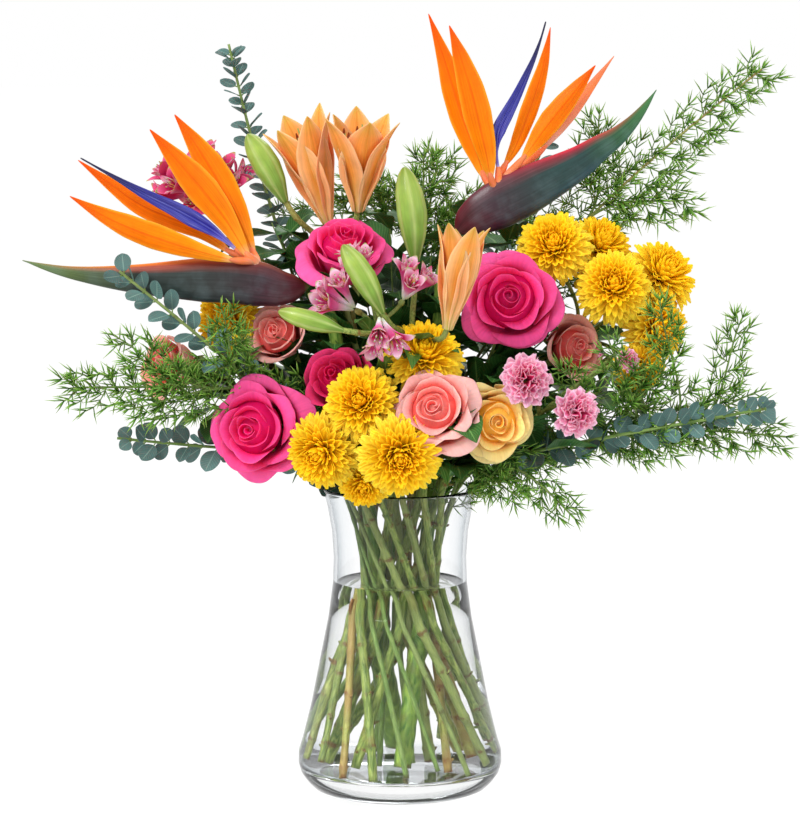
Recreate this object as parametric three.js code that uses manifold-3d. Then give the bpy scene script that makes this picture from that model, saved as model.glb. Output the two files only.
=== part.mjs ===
// A mixed bouquet with two bird of paradise flowers, standing in a waisted glass vase of water.
// Millimetres, +Z up. The origin is the centre of the vase's foot, on the surface it stands on; -Y is the front.
// Every stem is one straight line of a spiral inside the vase and bends away to its flower above the rim.
import * as THREE from "three";
import { mergeVertices } from "three/addons/utils/BufferGeometryUtils.js";
import Module from "manifold-3d";

const wasm = await Module();
wasm.setup();

// ---- Driving dimensions ----
const vaseHeight = 230;
const rimRadius = 58.5;
const waistRadius = 50;
const footRadius = 77;
const glassWall = 3;
const glassFloor = 16;
const vaseSides = 24;
const waterLevel = 158;
const clearance = 0.4; // kept between neighbouring solids
const crossingHeight = 150; // where the spiral of stems is narrowest
const footHeight = glassFloor + 2;
const rimLevel = vaseHeight + 4;
const stemSides = 7;
const bladeSides = 8;
const bloomSides = 9;
const spirals = {
  outer: { radius: 26.5, lean: 0.42 },
  middle: { radius: 17, lean: -0.3 }, // wound the other way, so its stems cross the outer ones
  inner: { radius: 7, lean: 0.12 },
};

// ---- Colours ----
const paint = (color, roughness = 0.6, extra = {}) =>
  new THREE.MeshStandardMaterial({ color, roughness, metalness: 0, ...extra });
const paints = {
  glass: paint(0xe8f2f2, 0.05, { transparent: true, opacity: 0.35 }),
  water: paint(0xdcecef, 0.05, { transparent: true, opacity: 0.3 }),
  stem: paint(0x8fae4e),
  spathe: paint(0x4a4f52),
  orange: paint(0xff8a0c),
  blue: paint(0x2b2f9a),
  pink: paint(0xe8216f),
  red: paint(0xcf1450),
  salmon: paint(0xf7908c),
  peach: paint(0xf9bd5c),
  coral: paint(0xe06a60),
  yellow: paint(0xf7bd12),
  lily: paint(0xf2a35c),
  bud: paint(0x93b53c),
  carnation: paint(0xf6a0bd),
  alstroemeria: paint(0xd9558c),
  eucalyptus: paint(0x5f827c),
  fern: paint(0x5d8a37),
};

// ---- Solids ----
const vec = (x, y, z) => new THREE.Vector3(x, y, z);
const toVec = (p) => vec(p[0], p[1], p[2]);

function solidOf(geometry) {
  const plain = geometry.clone();
  for (const name of ["normal", "uv", "color"]) plain.deleteAttribute(name);
  const merged = mergeVertices(plain, 1e-3);
  return new wasm.Manifold(
    new wasm.Mesh({
      numProp: 3,
      vertProperties: new Float32Array(merged.attributes.position.array),
      triVerts: new Uint32Array(merged.index.array),
    }),
  );
}

function geometryOf(solid) {
  const mesh = solid.getMesh();
  const geometry = new THREE.BufferGeometry();
  geometry.setAttribute("position", new THREE.BufferAttribute(mesh.vertProperties, mesh.numProp));
  geometry.setIndex(new THREE.BufferAttribute(mesh.triVerts, 1));
  geometry.computeVertexNormals();
  return geometry;
}

const largestPiece = (solid) =>
  solid.decompose().reduce((best, piece) => (piece.volume() > best.volume() ? piece : best));

const tangentAt = (points, i) =>
  points[Math.min(i + 1, points.length - 1)].clone().sub(points[Math.max(i - 1, 0)]).normalize();

const anyAcross = (t) => vec(t.y, -t.x, 0).lengthSq() > 0.01 ? vec(t.y, -t.x, 0).normalize() : vec(1, 0, 0);

// Bends a geometry that stands on its own Y axis along a row of points. section(i) gives the half width and
// half thickness of ring i; face, if given, is the way the flat side looks.
function mould(geometry, ringOf, points, section, face) {
  const frames = [];
  let side = anyAcross(tangentAt(points, 0));
  points.forEach((_, i) => {
    const t = tangentAt(points, i);
    side = face ? face.clone().cross(t) : side.clone();
    side.addScaledVector(t, -side.dot(t)).normalize();
    frames.push({ side: side.clone(), normal: t.clone().cross(side) });
  });
  const position = geometry.attributes.position;
  const p = vec(0, 0, 0);
  for (let k = 0; k < position.count; k++) {
    p.fromBufferAttribute(position, k);
    const { ring, x, z } = ringOf(p);
    const { width, thick } = section(ring);
    const { side: s, normal: n } = frames[ring];
    const moved = points[ring].clone().addScaledVector(s, x * width).addScaledVector(n, z * thick);
    position.setXYZ(k, moved.x, moved.y, moved.z);
  }
  return geometry;
}

// A round stem: a cylinder bent along its points.
function stemSolid(points, radiusAt, grow = 0, sides = stemSides) {
  const rings = points.length - 1;
  const ringOf = (p) => ({ ring: Math.round((0.5 - p.y) * rings), x: p.x, z: p.z });
  const section = (ring) => {
    const radius = radiusAt(ring / rings) + grow;
    return { width: radius, thick: radius };
  };
  return solidOf(mould(new THREE.CylinderGeometry(1, 1, 1, sides, rings), ringOf, points, section));
}

// A blade or a bloom: a sphere bent along its points, its first and last points being its two ends.
function podSolid(points, section, face, sides) {
  const rings = points.length - 1;
  const ringOf = (p) => {
    const angle = Math.acos(THREE.MathUtils.clamp(p.y, -1, 1));
    const across = Math.max(Math.sin(angle), 1e-6);
    const atPole = angle < 1e-4 || angle > Math.PI - 1e-4;
    return { ring: Math.round((angle / Math.PI) * rings), x: atPole ? 0 : p.x / across, z: atPole ? 0 : p.z / across };
  };
  return solidOf(mould(new THREE.SphereGeometry(1, sides, rings), ringOf, points, section, face));
}

// Linear reading of a short list of [position, value] pairs.
function readOff(list, u) {
  const next = list.findIndex(([at]) => at >= u);
  if (next <= 0) return list[Math.max(next, 0)][1];
  const [[a, va], [b, vb]] = [list[next - 1], list[next]];
  return va + ((u - a) / (b - a)) * (vb - va);
}

// ---- Flowers: outer shape of each kind as [share of its length, share of its radius] from the back ----
const shapes = {
  rose: { depth: 0.8, seat: 0.55, profile: [[0, 0], [0.1, 0.42], [0.35, 0.86], [0.62, 1], [0.86, 0.82], [1, 0]] },
  mum: { depth: 0.6, seat: 0.5, profile: [[0, 0], [0.12, 0.5], [0.4, 0.98], [0.62, 0.98], [0.86, 0.66], [1, 0]] },
  carnation: { depth: 0.95, seat: 0.7, profile: [[0, 0], [0.2, 0.26], [0.5, 0.45], [0.72, 1], [0.9, 0.85], [1, 0]] },
  floret: { depth: 1.5, seat: 0.75, profile: [[0, 0], [0.2, 0.28], [0.6, 0.62], [0.85, 0.9], [1, 0]] },
};

function bloomPoints(flower) {
  const { depth, seat, profile } = shapes[flower.kind];
  const axis = toVec(flower.facing).normalize();
  const length = flower.diameter * depth;
  const back = toVec(flower.at).addScaledVector(axis, -length * seat);
  return profile.map(([share]) => back.clone().addScaledVector(axis, share * length));
}

function bloomSolid(flower, grow = 0) {
  const { profile } = shapes[flower.kind];
  const points = bloomPoints(flower);
  const axis = points.at(-1).clone().sub(points[0]).normalize();
  points[0].addScaledVector(axis, -grow);
  points.at(-1).addScaledVector(axis, grow);
  const section = (ring) => {
    const radius = (profile[ring][1] * flower.diameter) / 2 + grow;
    return { width: radius, thick: radius };
  };
  return podSolid(points, section, anyAcross(axis), bloomSides);
}

// Long pieces: a line of [x, y, z] and half widths read off along it. thin is thickness over width.
function bladeSolid(piece, grow = 0) {
  const points = new THREE.CatmullRomCurve3(piece.line.map(toVec)).getPoints(piece.rings ?? 9);
  const last = points.length - 1;
  points[0].addScaledVector(tangentAt(points, 0), -grow);
  points[last].addScaledVector(tangentAt(points, last), grow);
  const section = (ring) => {
    const width = readOff(piece.widths, ring / last);
    return { width: width + grow, thick: Math.max(width * piece.thin, 0.5) + grow };
  };
  return podSolid(points, section, toVec(piece.face ?? [0, -1, 0]), piece.sides ?? bladeSides);
}

// ---- The two birds of paradise ----
const sepalWidths = (half) => [[0, 1.6], [0.12, half * 0.45], [0.45, half], [0.75, half * 0.62], [1, 0.4]];
const birdLeft = {
  name: "bird_left", spiral: "middle", radius: 5.2, tip: [-64, -38, 381], arrives: [-0.7, -0.1, 0.7],
  pieces: [
    { part: "spathe", paint: "spathe", thin: 0.6, rings: 12,
      line: [[-66, -38, 384], [-84, -41, 383], [-110, -42, 388], [-147, -43, 390], [-183, -44, 390], [-220, -43, 392],
        [-250, -42, 396], [-277, -40, 403]],
      widths: [[0, 3.5], [0.1, 11], [0.24, 18], [0.42, 17.6], [0.58, 12.5], [0.74, 7], [0.88, 3.2], [1, 0.5]] },
    { part: "blue_petals", paint: "blue", thin: 0.8,
      line: [[-117, -44, 409], [-135, -47, 424], [-160, -50, 439], [-184, -50, 451], [-206, -48, 463], [-233, -45, 478]],
      widths: [[0, 1.5], [0.15, 4], [0.35, 6.6], [0.6, 4.2], [0.78, 1.9], [1, 0.5]] },
    { part: "sepal_top_back", paint: "orange", thin: 0.3, face: [-0.2, -0.95, 0.2],
      line: [[-107, -38, 407], [-120, -31, 436], [-136, -25, 464], [-149, -22, 485], [-166, -18, 509]],
      widths: sepalWidths(11.5) },
    { part: "sepal_top_front", paint: "orange", thin: 0.3, face: [-0.2, -0.9, -0.2],
      line: [[-110, -48, 405], [-128, -52, 435], [-145, -56, 457], [-161, -59, 476], [-181, -60, 499]],
      widths: sepalWidths(11.5) },
    { part: "sepal_beak_upper", paint: "orange", thin: 0.3, face: [0, -0.8, 0.6],
      line: [[-124, -38, 408], [-144, -34, 423], [-167, -32, 433], [-190, -32, 443], [-212, -32, 458], [-236, -32, 476]],
      widths: sepalWidths(8.5) },
    { part: "sepal_beak_lower", paint: "orange", thin: 0.3, face: [0, -0.9, 0.4],
      line: [[-119, -52, 403], [-147, -58, 411], [-172, -61, 419], [-196, -63, 428], [-217, -64, 438], [-239, -64, 451]],
      widths: sepalWidths(9.5) },
  ],
};
const birdRight = {
  name: "bird_right", spiral: "middle", radius: 5.2, tip: [39, -6, 416], arrives: [0.45, 0, 0.9],
  pieces: [
    { part: "spathe", paint: "spathe", thin: 0.55, rings: 12,
      line: [[40, -6, 419], [52, -8, 431], [66, -9, 440], [90, -8, 452], [109, -6, 462], [129, -3, 472], [147, 0, 484],
        [165, 3, 496], [180, 7, 512], [191, 10, 527]],
      widths: [[0, 4], [0.12, 15], [0.26, 20], [0.38, 19], [0.52, 15], [0.68, 10], [0.82, 5.5], [0.93, 2.2], [1, 0.5]] },
    { part: "blue_petals", paint: "blue", thin: 0.8,
      line: [[73, -12, 466], [71, -15, 482], [73, -15, 498], [82, -16, 515], [92, -17, 536], [101, -18, 557], [107, -18, 577]],
      widths: [[0, 1.6], [0.2, 1.8], [0.3, 5.4], [0.5, 5], [0.75, 2.6], [0.9, 1.2], [1, 0.4]] },
    { part: "sepal_back", paint: "orange", thin: 0.3, face: [-0.3, -0.95, 0],
      line: [[62, -4, 462], [58, -2, 477], [49, 0, 500], [40, 1, 526], [32, 1, 552], [21, 1, 583]],
      widths: sepalWidths(10) },
    { part: "sepal_front", paint: "orange", thin: 0.3, face: [0.1, -1, 0],
      line: [[67, -15, 461], [64, -20, 478], [58, -24, 503], [52, -26, 527], [44, -27, 552], [36, -26, 574]],
      widths: sepalWidths(10.5) },
    { part: "sepal_middle", paint: "orange", thin: 0.3, face: [0.3, -0.95, 0],
      line: [[77, -4, 470], [85, -4, 484], [93, -4, 504], [101, -4, 527], [107, -4, 549], [111, -4, 573]],
      widths: sepalWidths(6.5) },
    { part: "sepal_beak", paint: "orange", thin: 0.35, face: [0, -1, 0.3],
      line: [[90, -9, 475], [99, -10, 487], [109, -11, 501], [121, -12, 516], [133, -12, 531], [144, -12, 545]],
      widths: sepalWidths(8.5) },
    { part: "sepal_pale", paint: "orange", thin: 0.3, face: [0, -1, 0],
      line: [[106, 3, 482], [117, 3, 496], [129, 4, 512], [143, 5, 531], [159, 5, 552]],
      widths: sepalWidths(4.5) },
  ],
};

// ---- Roses, one to a stem ----
const rose = (name, color, at, facing, diameter, spiral) =>
  ({ name, color, spiral, radius: 2.8, flower: { kind: "rose", at, facing, diameter } });
const roses = [
  rose("rose_pink_right", "pink", [80, -52, 374], [-0.05, -0.95, 0.25], 72, "middle"),
  rose("rose_pink_upper", "pink", [-41, -40, 409], [0.05, -0.55, 0.83], 64, "inner"),
  rose("rose_pink_left", "pink", [-104, -70, 283], [-0.3, -0.93, 0.05], 72, "outer"),
  rose("rose_red", "red", [-44, -64, 316], [-0.35, -0.75, 0.55], 54, "middle"),
  rose("rose_salmon", "salmon", [25, -108, 300], [-0.1, -0.93, 0.33], 60, "outer"),
  rose("rose_peach", "peach", [67, -88, 290], [0.15, -0.95, 0.1], 60, "outer"),
  rose("rose_coral_left", "coral", [-171, -20, 322], [-0.75, -0.6, 0.2], 52, "outer"),
  rose("rose_coral_middle", "coral", [-90, -22, 346], [-0.3, -0.85, 0.4], 50, "middle"),
  rose("rose_coral_right", "coral", [127, -18, 336], [0.45, -0.85, 0.2], 50, "outer"),
];

// ---- Branched stems. fork is where the branches leave the main stem ----
const head = (kind, at, facing, diameter) => ({ kind, at, facing, diameter });
const sprays = [
  { name: "chrysanthemum_front", color: "yellow", spiral: "outer", radius: 2.5, twig: 1.5, fork: [-12, -50, 272],
    heads: [
      head("mum", [0, -118, 268], [0.05, -0.98, -0.12], 56),
      head("mum", [-28, -100, 305], [-0.15, -0.9, 0.3], 52),
      head("mum", [-57, -92, 268], [-0.35, -0.9, -0.15], 52),
      head("mum", [17, -82, 338], [0.1, -0.75, 0.6], 54),
      head("mum", [-26, -80, 243], [-0.1, -0.9, -0.4], 38),
    ] },
  { name: "chrysanthemum_right", color: "yellow", spiral: "outer", radius: 2.5, twig: 1.5, fork: [128, 8, 335],
    heads: [
      head("mum", [113, -26, 413], [-0.1, -0.85, 0.45], 52),
      head("mum", [149, 2, 412], [0.35, -0.6, 0.7], 50),
      head("mum", [157, -38, 384], [0, -0.92, 0.35], 52),
      head("mum", [195, -10, 391], [0.5, -0.6, 0.6], 54),
      head("mum", [191, -22, 352], [0.6, -0.8, 0], 48),
      head("mum", [179, -26, 322], [0.4, -0.85, -0.3], 38),
    ] },
  { name: "chrysanthemum_left", color: "yellow", spiral: "outer", radius: 2.5, twig: 1.5, fork: [-112, 18, 335],
    heads: [head("mum", [-128, -6, 358], [-0.5, -0.8, 0.2], 52)] },
  { name: "carnation", color: "carnation", spiral: "outer", radius: 2.4, twig: 1.5, fork: [102, -50, 290],
    heads: [
      head("carnation", [91, -96, 321], [0.1, -0.95, 0.2], 42),
      head("carnation", [128, -88, 296], [0.4, -0.9, -0.05], 40),
      head("carnation", [167, -62, 332], [0.4, -0.9, 0.2], 20),
      head("carnation", [147, -68, 336], [-0.6, -0.75, 0.1], 9),
    ] },
  { name: "alstroemeria_left", color: "alstroemeria", spiral: "middle", radius: 2.4, twig: 1.3, fork: [-128, 34, 424],
    heads: [
      head("floret", [-178, 20, 456], [-0.9, -0.4, 0.3], 32),
      head("floret", [-154, 24, 476], [-0.35, -0.5, 0.8], 32),
      head("floret", [-124, 26, 466], [0.35, -0.5, 0.8], 32),
      head("floret", [-150, 12, 448], [-0.3, -0.9, 0.3], 28),
    ] },
  { name: "alstroemeria_front", color: "alstroemeria", spiral: "outer", radius: 2.4, twig: 1.3, fork: [-16, -74, 352],
    heads: [
      head("floret", [-52, -94, 384], [-0.7, -0.5, 0.5], 30),
      head("floret", [-32, -86, 410], [-0.3, -0.4, 0.85], 24),
      head("floret", [14, -88, 396], [0.45, -0.5, 0.75], 28),
      head("floret", [-12, -118, 348], [0.1, -0.7, -0.7], 28),
    ] },
];

// ---- Lilies: a branched stem whose blooms and buds are pieces of their own ----
const lilyWidths = (flare) => [[0, 2.5], [0.14, flare * 0.24], [0.45, flare * 0.55], [0.82, flare], [1, flare * 0.5]];
const budWidths = (half) => [[0, 2.4], [0.2, half * 0.75], [0.5, half], [0.8, half * 0.75], [1, 1]];
const bloomLine = (name, line, widths, color) =>
  ({ name, paint: color, line, widths, thin: 1, rings: 7, sides: bloomSides });
const lilies = [
  { name: "lily_back_stem", spiral: "middle", radius: 3.4, twig: 2.2, fork: [-44, 4, 392],
    blooms: [
      bloomLine("lily_left_bloom", [[-53, -8, 428], [-65, -12, 468], [-79, -16, 507]], lilyWidths(27), "lily"),
      bloomLine("lily_centre_bloom", [[-31, -30, 438], [-29, -37, 474], [-27, -44, 508]], lilyWidths(29), "lily"),
      bloomLine("lily_bud_left", [[-84, -24, 444], [-97, -26, 470], [-112, -28, 495]], budWidths(10.5), "bud"),
    ] },
  { name: "lily_front_stem", spiral: "middle", radius: 3.4, twig: 2.2, fork: [8, -58, 338],
    blooms: [
      bloomLine("lily_front_bloom", [[34, -100, 357], [41, -105, 396], [47, -104, 434]], lilyWidths(19), "lily"),
      bloomLine("lily_bud_tall", [[11, -62, 402], [9, -60, 436], [3, -57, 472]], budWidths(11.5), "bud"),
      bloomLine("lily_bud_front", [[-12, -101, 368], [-25, -102, 393], [-41, -100, 418]], budWidths(9.5), "bud"),
      bloomLine("lily_bud_low", [[-40, -108, 357], [-62, -110, 364], [-87, -108, 371]], budWidths(7.5), "bud"),
    ] },
];

// ---- Foliage: each stem runs through its via points to its tip ----
const foliage = [
  { name: "eucalyptus_top_left", color: "eucalyptus", spiral: "inner", radius: 2, leaf: 10,
    via: [[-62, 40, 330], [-98, 46, 415], [-117, 44, 489]], tip: [-129, 40, 561] },
  { name: "eucalyptus_left", color: "eucalyptus", spiral: "outer", radius: 2, leaf: 13,
    via: [[-92, -50, 305], [-150, -66, 354]], tip: [-204, -72, 398] },
  { name: "eucalyptus_low_left", color: "eucalyptus", spiral: "outer", radius: 2, leaf: 13,
    via: [[-76, -36, 264], [-147, -44, 262]], tip: [-209, -50, 273] },
  { name: "eucalyptus_right", color: "eucalyptus", spiral: "outer", radius: 2, leaf: 12,
    via: [[90, -56, 262], [182, -62, 281]], tip: [270, -58, 296] },
  { name: "eucalyptus_back", color: "eucalyptus", spiral: "inner", radius: 2, leaf: 9,
    via: [[40, 54, 330], [84, 76, 430]], tip: [124, 86, 512] },
  { name: "fern_top_right", color: "fern", spiral: "inner", radius: 1.8, frond: 34,
    via: [[58, 26, 340], [110, 26, 424], [180, 20, 473]], tip: [270, 10, 543], sides: [[222, 8, 446]] },
  { name: "fern_right", color: "fern", spiral: "outer", radius: 1.8, frond: 34,
    via: [[110, -34, 284], [190, -44, 286]], tip: [285, -34, 272], sides: [[246, -54, 358], [196, -60, 330]] },
  { name: "fern_low", color: "fern", spiral: "outer", radius: 1.8, frond: 22,
    via: [[64, -56, 266], [98, -74, 260]], tip: [129, -74, 215] },
  { name: "fern_left", color: "fern", spiral: "outer", radius: 1.8, frond: 34,
    via: [[-84, -62, 298], [-159, -84, 316]], tip: [-239, -78, 313], sides: [[-206, -88, 352]] },
  { name: "fern_back", color: "fern", spiral: "inner", radius: 1.8, frond: 30,
    via: [[4, 46, 324], [14, 70, 402]], tip: [30, 92, 476], sides: [[66, 72, 446]] },
];

// ---- Where every stem starts: slots round the spirals, in the order of the flowers round the vase ----
function backOf(flower, depthIn) {
  const points = bloomPoints(flower);
  const axis = points[1].clone().sub(points[0]).normalize();
  return { end: points[0].addScaledVector(axis, depthIn), axis };
}

const plants = [];
for (const bird of [birdLeft, birdRight]) {
  plants.push({ ...bird, end: toVec(bird.tip), axis: toVec(bird.arrives).normalize() });
}
for (const one of roses) plants.push({ ...one, ...backOf(one.flower, -clearance) });
for (const one of [...sprays, ...lilies]) {
  const outward = vec(one.fork[0], one.fork[1], 150).normalize();
  plants.push({ ...one, end: toVec(one.fork), axis: outward });
}
for (const one of foliage) {
  const last = toVec(one.via.at(-1));
  plants.push({ ...one, end: toVec(one.tip), axis: toVec(one.tip).sub(last).normalize() });
}

const turnToSlot = THREE.MathUtils.degToRad(62); // a stem turns this far round the vase on its way up
for (const [name, { radius, lean }] of Object.entries(spirals)) {
  const mine = plants.filter((p) => p.spiral === name);
  for (const p of mine) p.azimuth = Math.atan2(p.end.y, p.end.x) + turnToSlot * Math.sign(lean);
  mine.sort((a, b) => a.azimuth - b.azimuth);
  const step = (2 * Math.PI) / mine.length;
  const drift = mine.reduce((sum, p, i) => sum + p.azimuth - i * step, 0) / mine.length;
  mine.forEach((p, i) => {
    const angle = i * step + drift;
    const crossing = vec(radius * Math.cos(angle), radius * Math.sin(angle), crossingHeight);
    p.rise = vec(lean * Math.sin(angle), -lean * Math.cos(angle), 1);
    p.foot = crossing.clone().addScaledVector(p.rise, footHeight + (i % 3) * 3 - crossingHeight);
    p.atRim = crossing.clone().addScaledVector(p.rise, rimLevel - crossingHeight);
  });
}

// ---- Lines: every stem and twig as a row of points; held points stay where they are ----
const upperSteps = 6;
const viaSteps = 14;
const lift = (p) => p.atRim.clone().addScaledVector(p.rise, 16).lerp(toVec(p.via[0]), 0.12);
const lines = [];
const bodies = new Map(); // plant name to the lines that make up its stem
for (const p of plants) {
  const lower = [0, 0.5].map((u) => p.foot.clone().lerp(p.atRim, u));
  const reach = p.end.distanceTo(p.atRim);
  const leave = p.atRim.clone().addScaledVector(p.rise.clone().normalize(), reach * 0.3);
  const arrive = p.end.clone().addScaledVector(p.axis, -reach * 0.28);
  const upper = p.via
    ? new THREE.CatmullRomCurve3([p.atRim, lift(p), ...p.via.map(toVec), p.end], false, "centripetal").getPoints(viaSteps)
    : new THREE.CubicBezierCurve3(p.atRim, leave, arrive, p.end).getPoints(upperSteps);
  const points = [...lower, ...upper];
  const line = { owner: p.name, points, radius: p.radius, held: new Set([0, 1, 2, points.length - 1]) };
  if (!p.via) line.held.add(points.length - 2);
  lines.push(line);
  bodies.set(p.name, [line]);
}

const twigSteps = 5;
function addTwig(owner, from, leaving, to, arriving, radius) {
  const reach = from.distanceTo(to);
  const points = new THREE.CubicBezierCurve3(
    from,
    from.clone().addScaledVector(leaving, reach * 0.35),
    to.clone().addScaledVector(arriving, -reach * 0.35),
    to,
  ).getPoints(twigSteps);
  points[0] = from; // stays on the stem it leaves
  const line = { owner, points, radius, held: new Set([0, twigSteps]) };
  lines.push(line);
  bodies.get(owner).push(line);
}
for (const p of plants) {
  for (const flower of p.heads ?? []) {
    const { end, axis } = backOf(flower, 3);
    addTwig(p.name, p.end, p.axis, end, axis, p.twig);
  }
  for (const side of p.sides ?? []) {
    const main = bodies.get(p.name)[0].points;
    const k = main.length - 8;
    const to = toVec(side);
    addTwig(p.name, main[k], tangentAt(main, k), to, to.clone().sub(main[k]).normalize(), 1.2);
  }
  for (const bloom of p.blooms ?? []) {
    const [a, b] = bloom.line.map(toVec);
    const axis = b.clone().sub(a).normalize();
    addTwig(p.name, p.end, p.axis, a.addScaledVector(axis, -clearance), axis, p.twig);
  }
}

// Flowers, buds and blades are obstacles that stems bend round.
const obstacles = [];
for (const p of plants) {
  for (const flower of [...(p.heads ?? []), ...(p.flower ? [p.flower] : [])]) {
    const at = toVec(flower.at);
    obstacles.push({ owner: p.name, points: [at, at.clone().add(vec(0, 0, 0.1))], radius: flower.diameter * 0.4 });
  }
  for (const piece of [...(p.blooms ?? []), ...(p.pieces ?? [])]) {
    const widest = Math.max(...piece.widths.map(([, w]) => w));
    const radius = widest * Math.min(1, piece.thin + 0.25) * 0.8;
    obstacles.push({ owner: p.name, points: piece.line.map(toVec), radius });
  }
}

// Shares of the nearest points of segments a0-a1 and b0-b1.
function nearest(a0, a1, b0, b1) {
  const u = a1.clone().sub(a0);
  const v = b1.clone().sub(b0);
  const w = a0.clone().sub(b0);
  const [uu, uv, vv, uw, vw] = [u.dot(u), u.dot(v), v.dot(v), u.dot(w), v.dot(w)];
  const clamp = (x) => Math.min(1, Math.max(0, x));
  const det = uu * vv - uv * uv;
  let s = det > 1e-9 ? clamp((uv * vw - vv * uw) / det) : 0;
  const t = clamp((uv * s + vw) / vv);
  s = clamp((uv * t - uw) / uu);
  return { s, t, apart: a0.clone().addScaledVector(u, s).sub(b0.clone().addScaledVector(v, t)) };
}

function pushApart(a, b) {
  for (let i = 0; i < a.points.length - 1; i++) {
    for (let j = 0; j < b.points.length - 1; j++) {
      const [a0, a1, b0, b1] = [a.points[i], a.points[i + 1], b.points[j], b.points[j + 1]];
      const want = a.radius + b.radius + clearance + 0.8;
      const far = want + a0.distanceTo(a1) + b0.distanceTo(b1);
      if (a0.distanceToSquared(b0) > far * far) continue;
      const { s, t, apart } = nearest(a0, a1, b0, b1);
      const gap = apart.length();
      if (gap >= want) continue;
      const push = apart.clone().multiplyScalar(((want - gap) * 0.5) / Math.max(gap, 1e-3));
      const move = (line, k, share) => line.held && !line.held.has(k) && line.points[k].addScaledVector(push, share);
      move(a, i, 1 - s);
      move(a, i + 1, s);
      move(b, j, t - 1);
      move(b, j + 1, -t);
    }
  }
}

const settlingRounds = 140;
for (let round = 0; round < settlingRounds; round++) {
  for (const line of lines) {
    for (let k = 1; k < line.points.length - 1; k++) {
      if (line.held.has(k)) continue;
      const middle = line.points[k - 1].clone().lerp(line.points[k + 1], 0.5);
      line.points[k].lerp(middle, round < settlingRounds - 40 ? 0.12 : 0);
    }
  }
  lines.forEach((a, i) => {
    for (const b of lines.slice(i + 1)) if (a.owner !== b.owner) pushApart(a, b);
    for (const b of obstacles) if (a.owner !== b.owner) pushApart(a, b);
  });
}

// ---- Building ----
const bouquet = new THREE.Group();
const placed = []; // solids already standing, with the same solid grown by the clearance
function show(name, solid, material) {
  const mesh = new THREE.Mesh(geometryOf(solid), material);
  mesh.name = name;
  bouquet.add(mesh);
}

const touches = (a, b) => {
  const [p, q] = [a.boundingBox(), b.boundingBox()];
  if ([0, 1, 2].some((k) => p.min[k] > q.max[k] || q.min[k] > p.max[k])) return false;
  return a.intersect(b).volume() > 1e-3;
};

// Cuts a solid back from everything that already stands, except its own plant's uncut pieces.
function fitted(solid, owner) {
  let result = solid;
  for (const other of placed) {
    if (other.owner !== owner && touches(result, other.grown)) result = result.subtract(other.grown);
  }
  return largestPiece(result);
}

// ---- Vase ----
const outline = [
  [footRadius * 0.8, 0], [footRadius * 0.94, 7], [footRadius, 20], [footRadius * 0.955, 40], [67, 68], [59.5, 104],
  [54, 132], [waistRadius + 0.4, 158], [waistRadius, 178], [waistRadius + 2.4, 204], [rimRadius, vaseHeight],
];
const inside = outline
  .filter(([, z]) => z > glassFloor)
  .map(([r, z]) => [r - glassWall - Math.max(0, (40 - z) * 0.12), z]);
const lathe = (profile) => {
  const turned = new THREE.LatheGeometry(profile.map(([r, z]) => new THREE.Vector2(r, z)), vaseSides);
  return solidOf(turned.rotateX(Math.PI / 2));
};
const cavityFloor = [inside[0][0] - 3, glassFloor];
const vase = lathe([[0, 0], ...outline, ...inside.toReversed(), cavityFloor, [0, glassFloor]]);
show("vase", vase, paints.glass);
placed.push({ owner: "vase", grown: vase });


// Stems first: they keep their full round section and everything else makes room for them.
const taper = (p) => (u) => p.radius * (u < 0.5 ? 1 : p.via ? 1.35 - 0.7 * u : 1.2 - 0.4 * u);
for (const p of plants) {
  const [main, ...twigs] = bodies.get(p.name);
  const build = (grow) =>
    twigs.reduce(
      (sum, twig) => sum.add(stemSolid(twig.points, () => twig.radius, grow, 6)),
      stemSolid(main.points, taper(p), grow),
    );
  p.stemSolid = build(0);
  placed.push({ owner: p.name, grown: build(clearance) });
}

for (const p of plants) {
  for (const piece of p.pieces ?? []) {
    const name = p.name + "_" + piece.part;
    piece.solid = fitted(bladeSolid(piece), name);
    placed.push({ owner: name, grown: bladeSolid(piece, clearance) });
    show(name, piece.solid, paints[piece.paint]);
  }
  if (p.flower) {
    const name = p.name + "_bloom";
    const solid = fitted(bloomSolid(p.flower), name);
    placed.push({ owner: name, grown: bloomSolid(p.flower, clearance) });
    show(name, solid, paints[p.color]);
  }
  for (const bloom of p.blooms ?? []) {
    show(bloom.name, fitted(bladeSolid(bloom), bloom.name), paints[bloom.paint]);
    placed.push({ owner: bloom.name, grown: bladeSolid(bloom, clearance) });
  }
  for (const flower of p.heads ?? []) {
    const solid = fitted(bloomSolid(flower), p.name);
    placed.push({ owner: p.name, grown: bloomSolid(flower, clearance) });
    p.stemSolid = p.stemSolid.add(solid);
  }
}

// Leaves stand only where nothing is in their way.
function leafSolid(root, direction, face, length, half) {
  const along = [0, 0.3, 0.65, 1].map((u) => root.clone().addScaledVector(direction, u * length));
  const widths = [0, half, half, 0];
  return podSolid(along, (ring) => ({ width: widths[ring], thick: 0.5 }), face, 4);
}

function growLeaves(p, spots) {
  for (const { root, direction, face, length, half } of spots) {
    const leaf = leafSolid(root, direction, face, length, half);
    if (placed.some((other) => other.owner !== p.name && touches(leaf, other.grown))) continue;
    p.stemSolid = p.stemSolid.add(leaf);
    placed.push({ owner: p.name, grown: leafSolid(root, direction, face, length + clearance, half + clearance) });
  }
}

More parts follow.
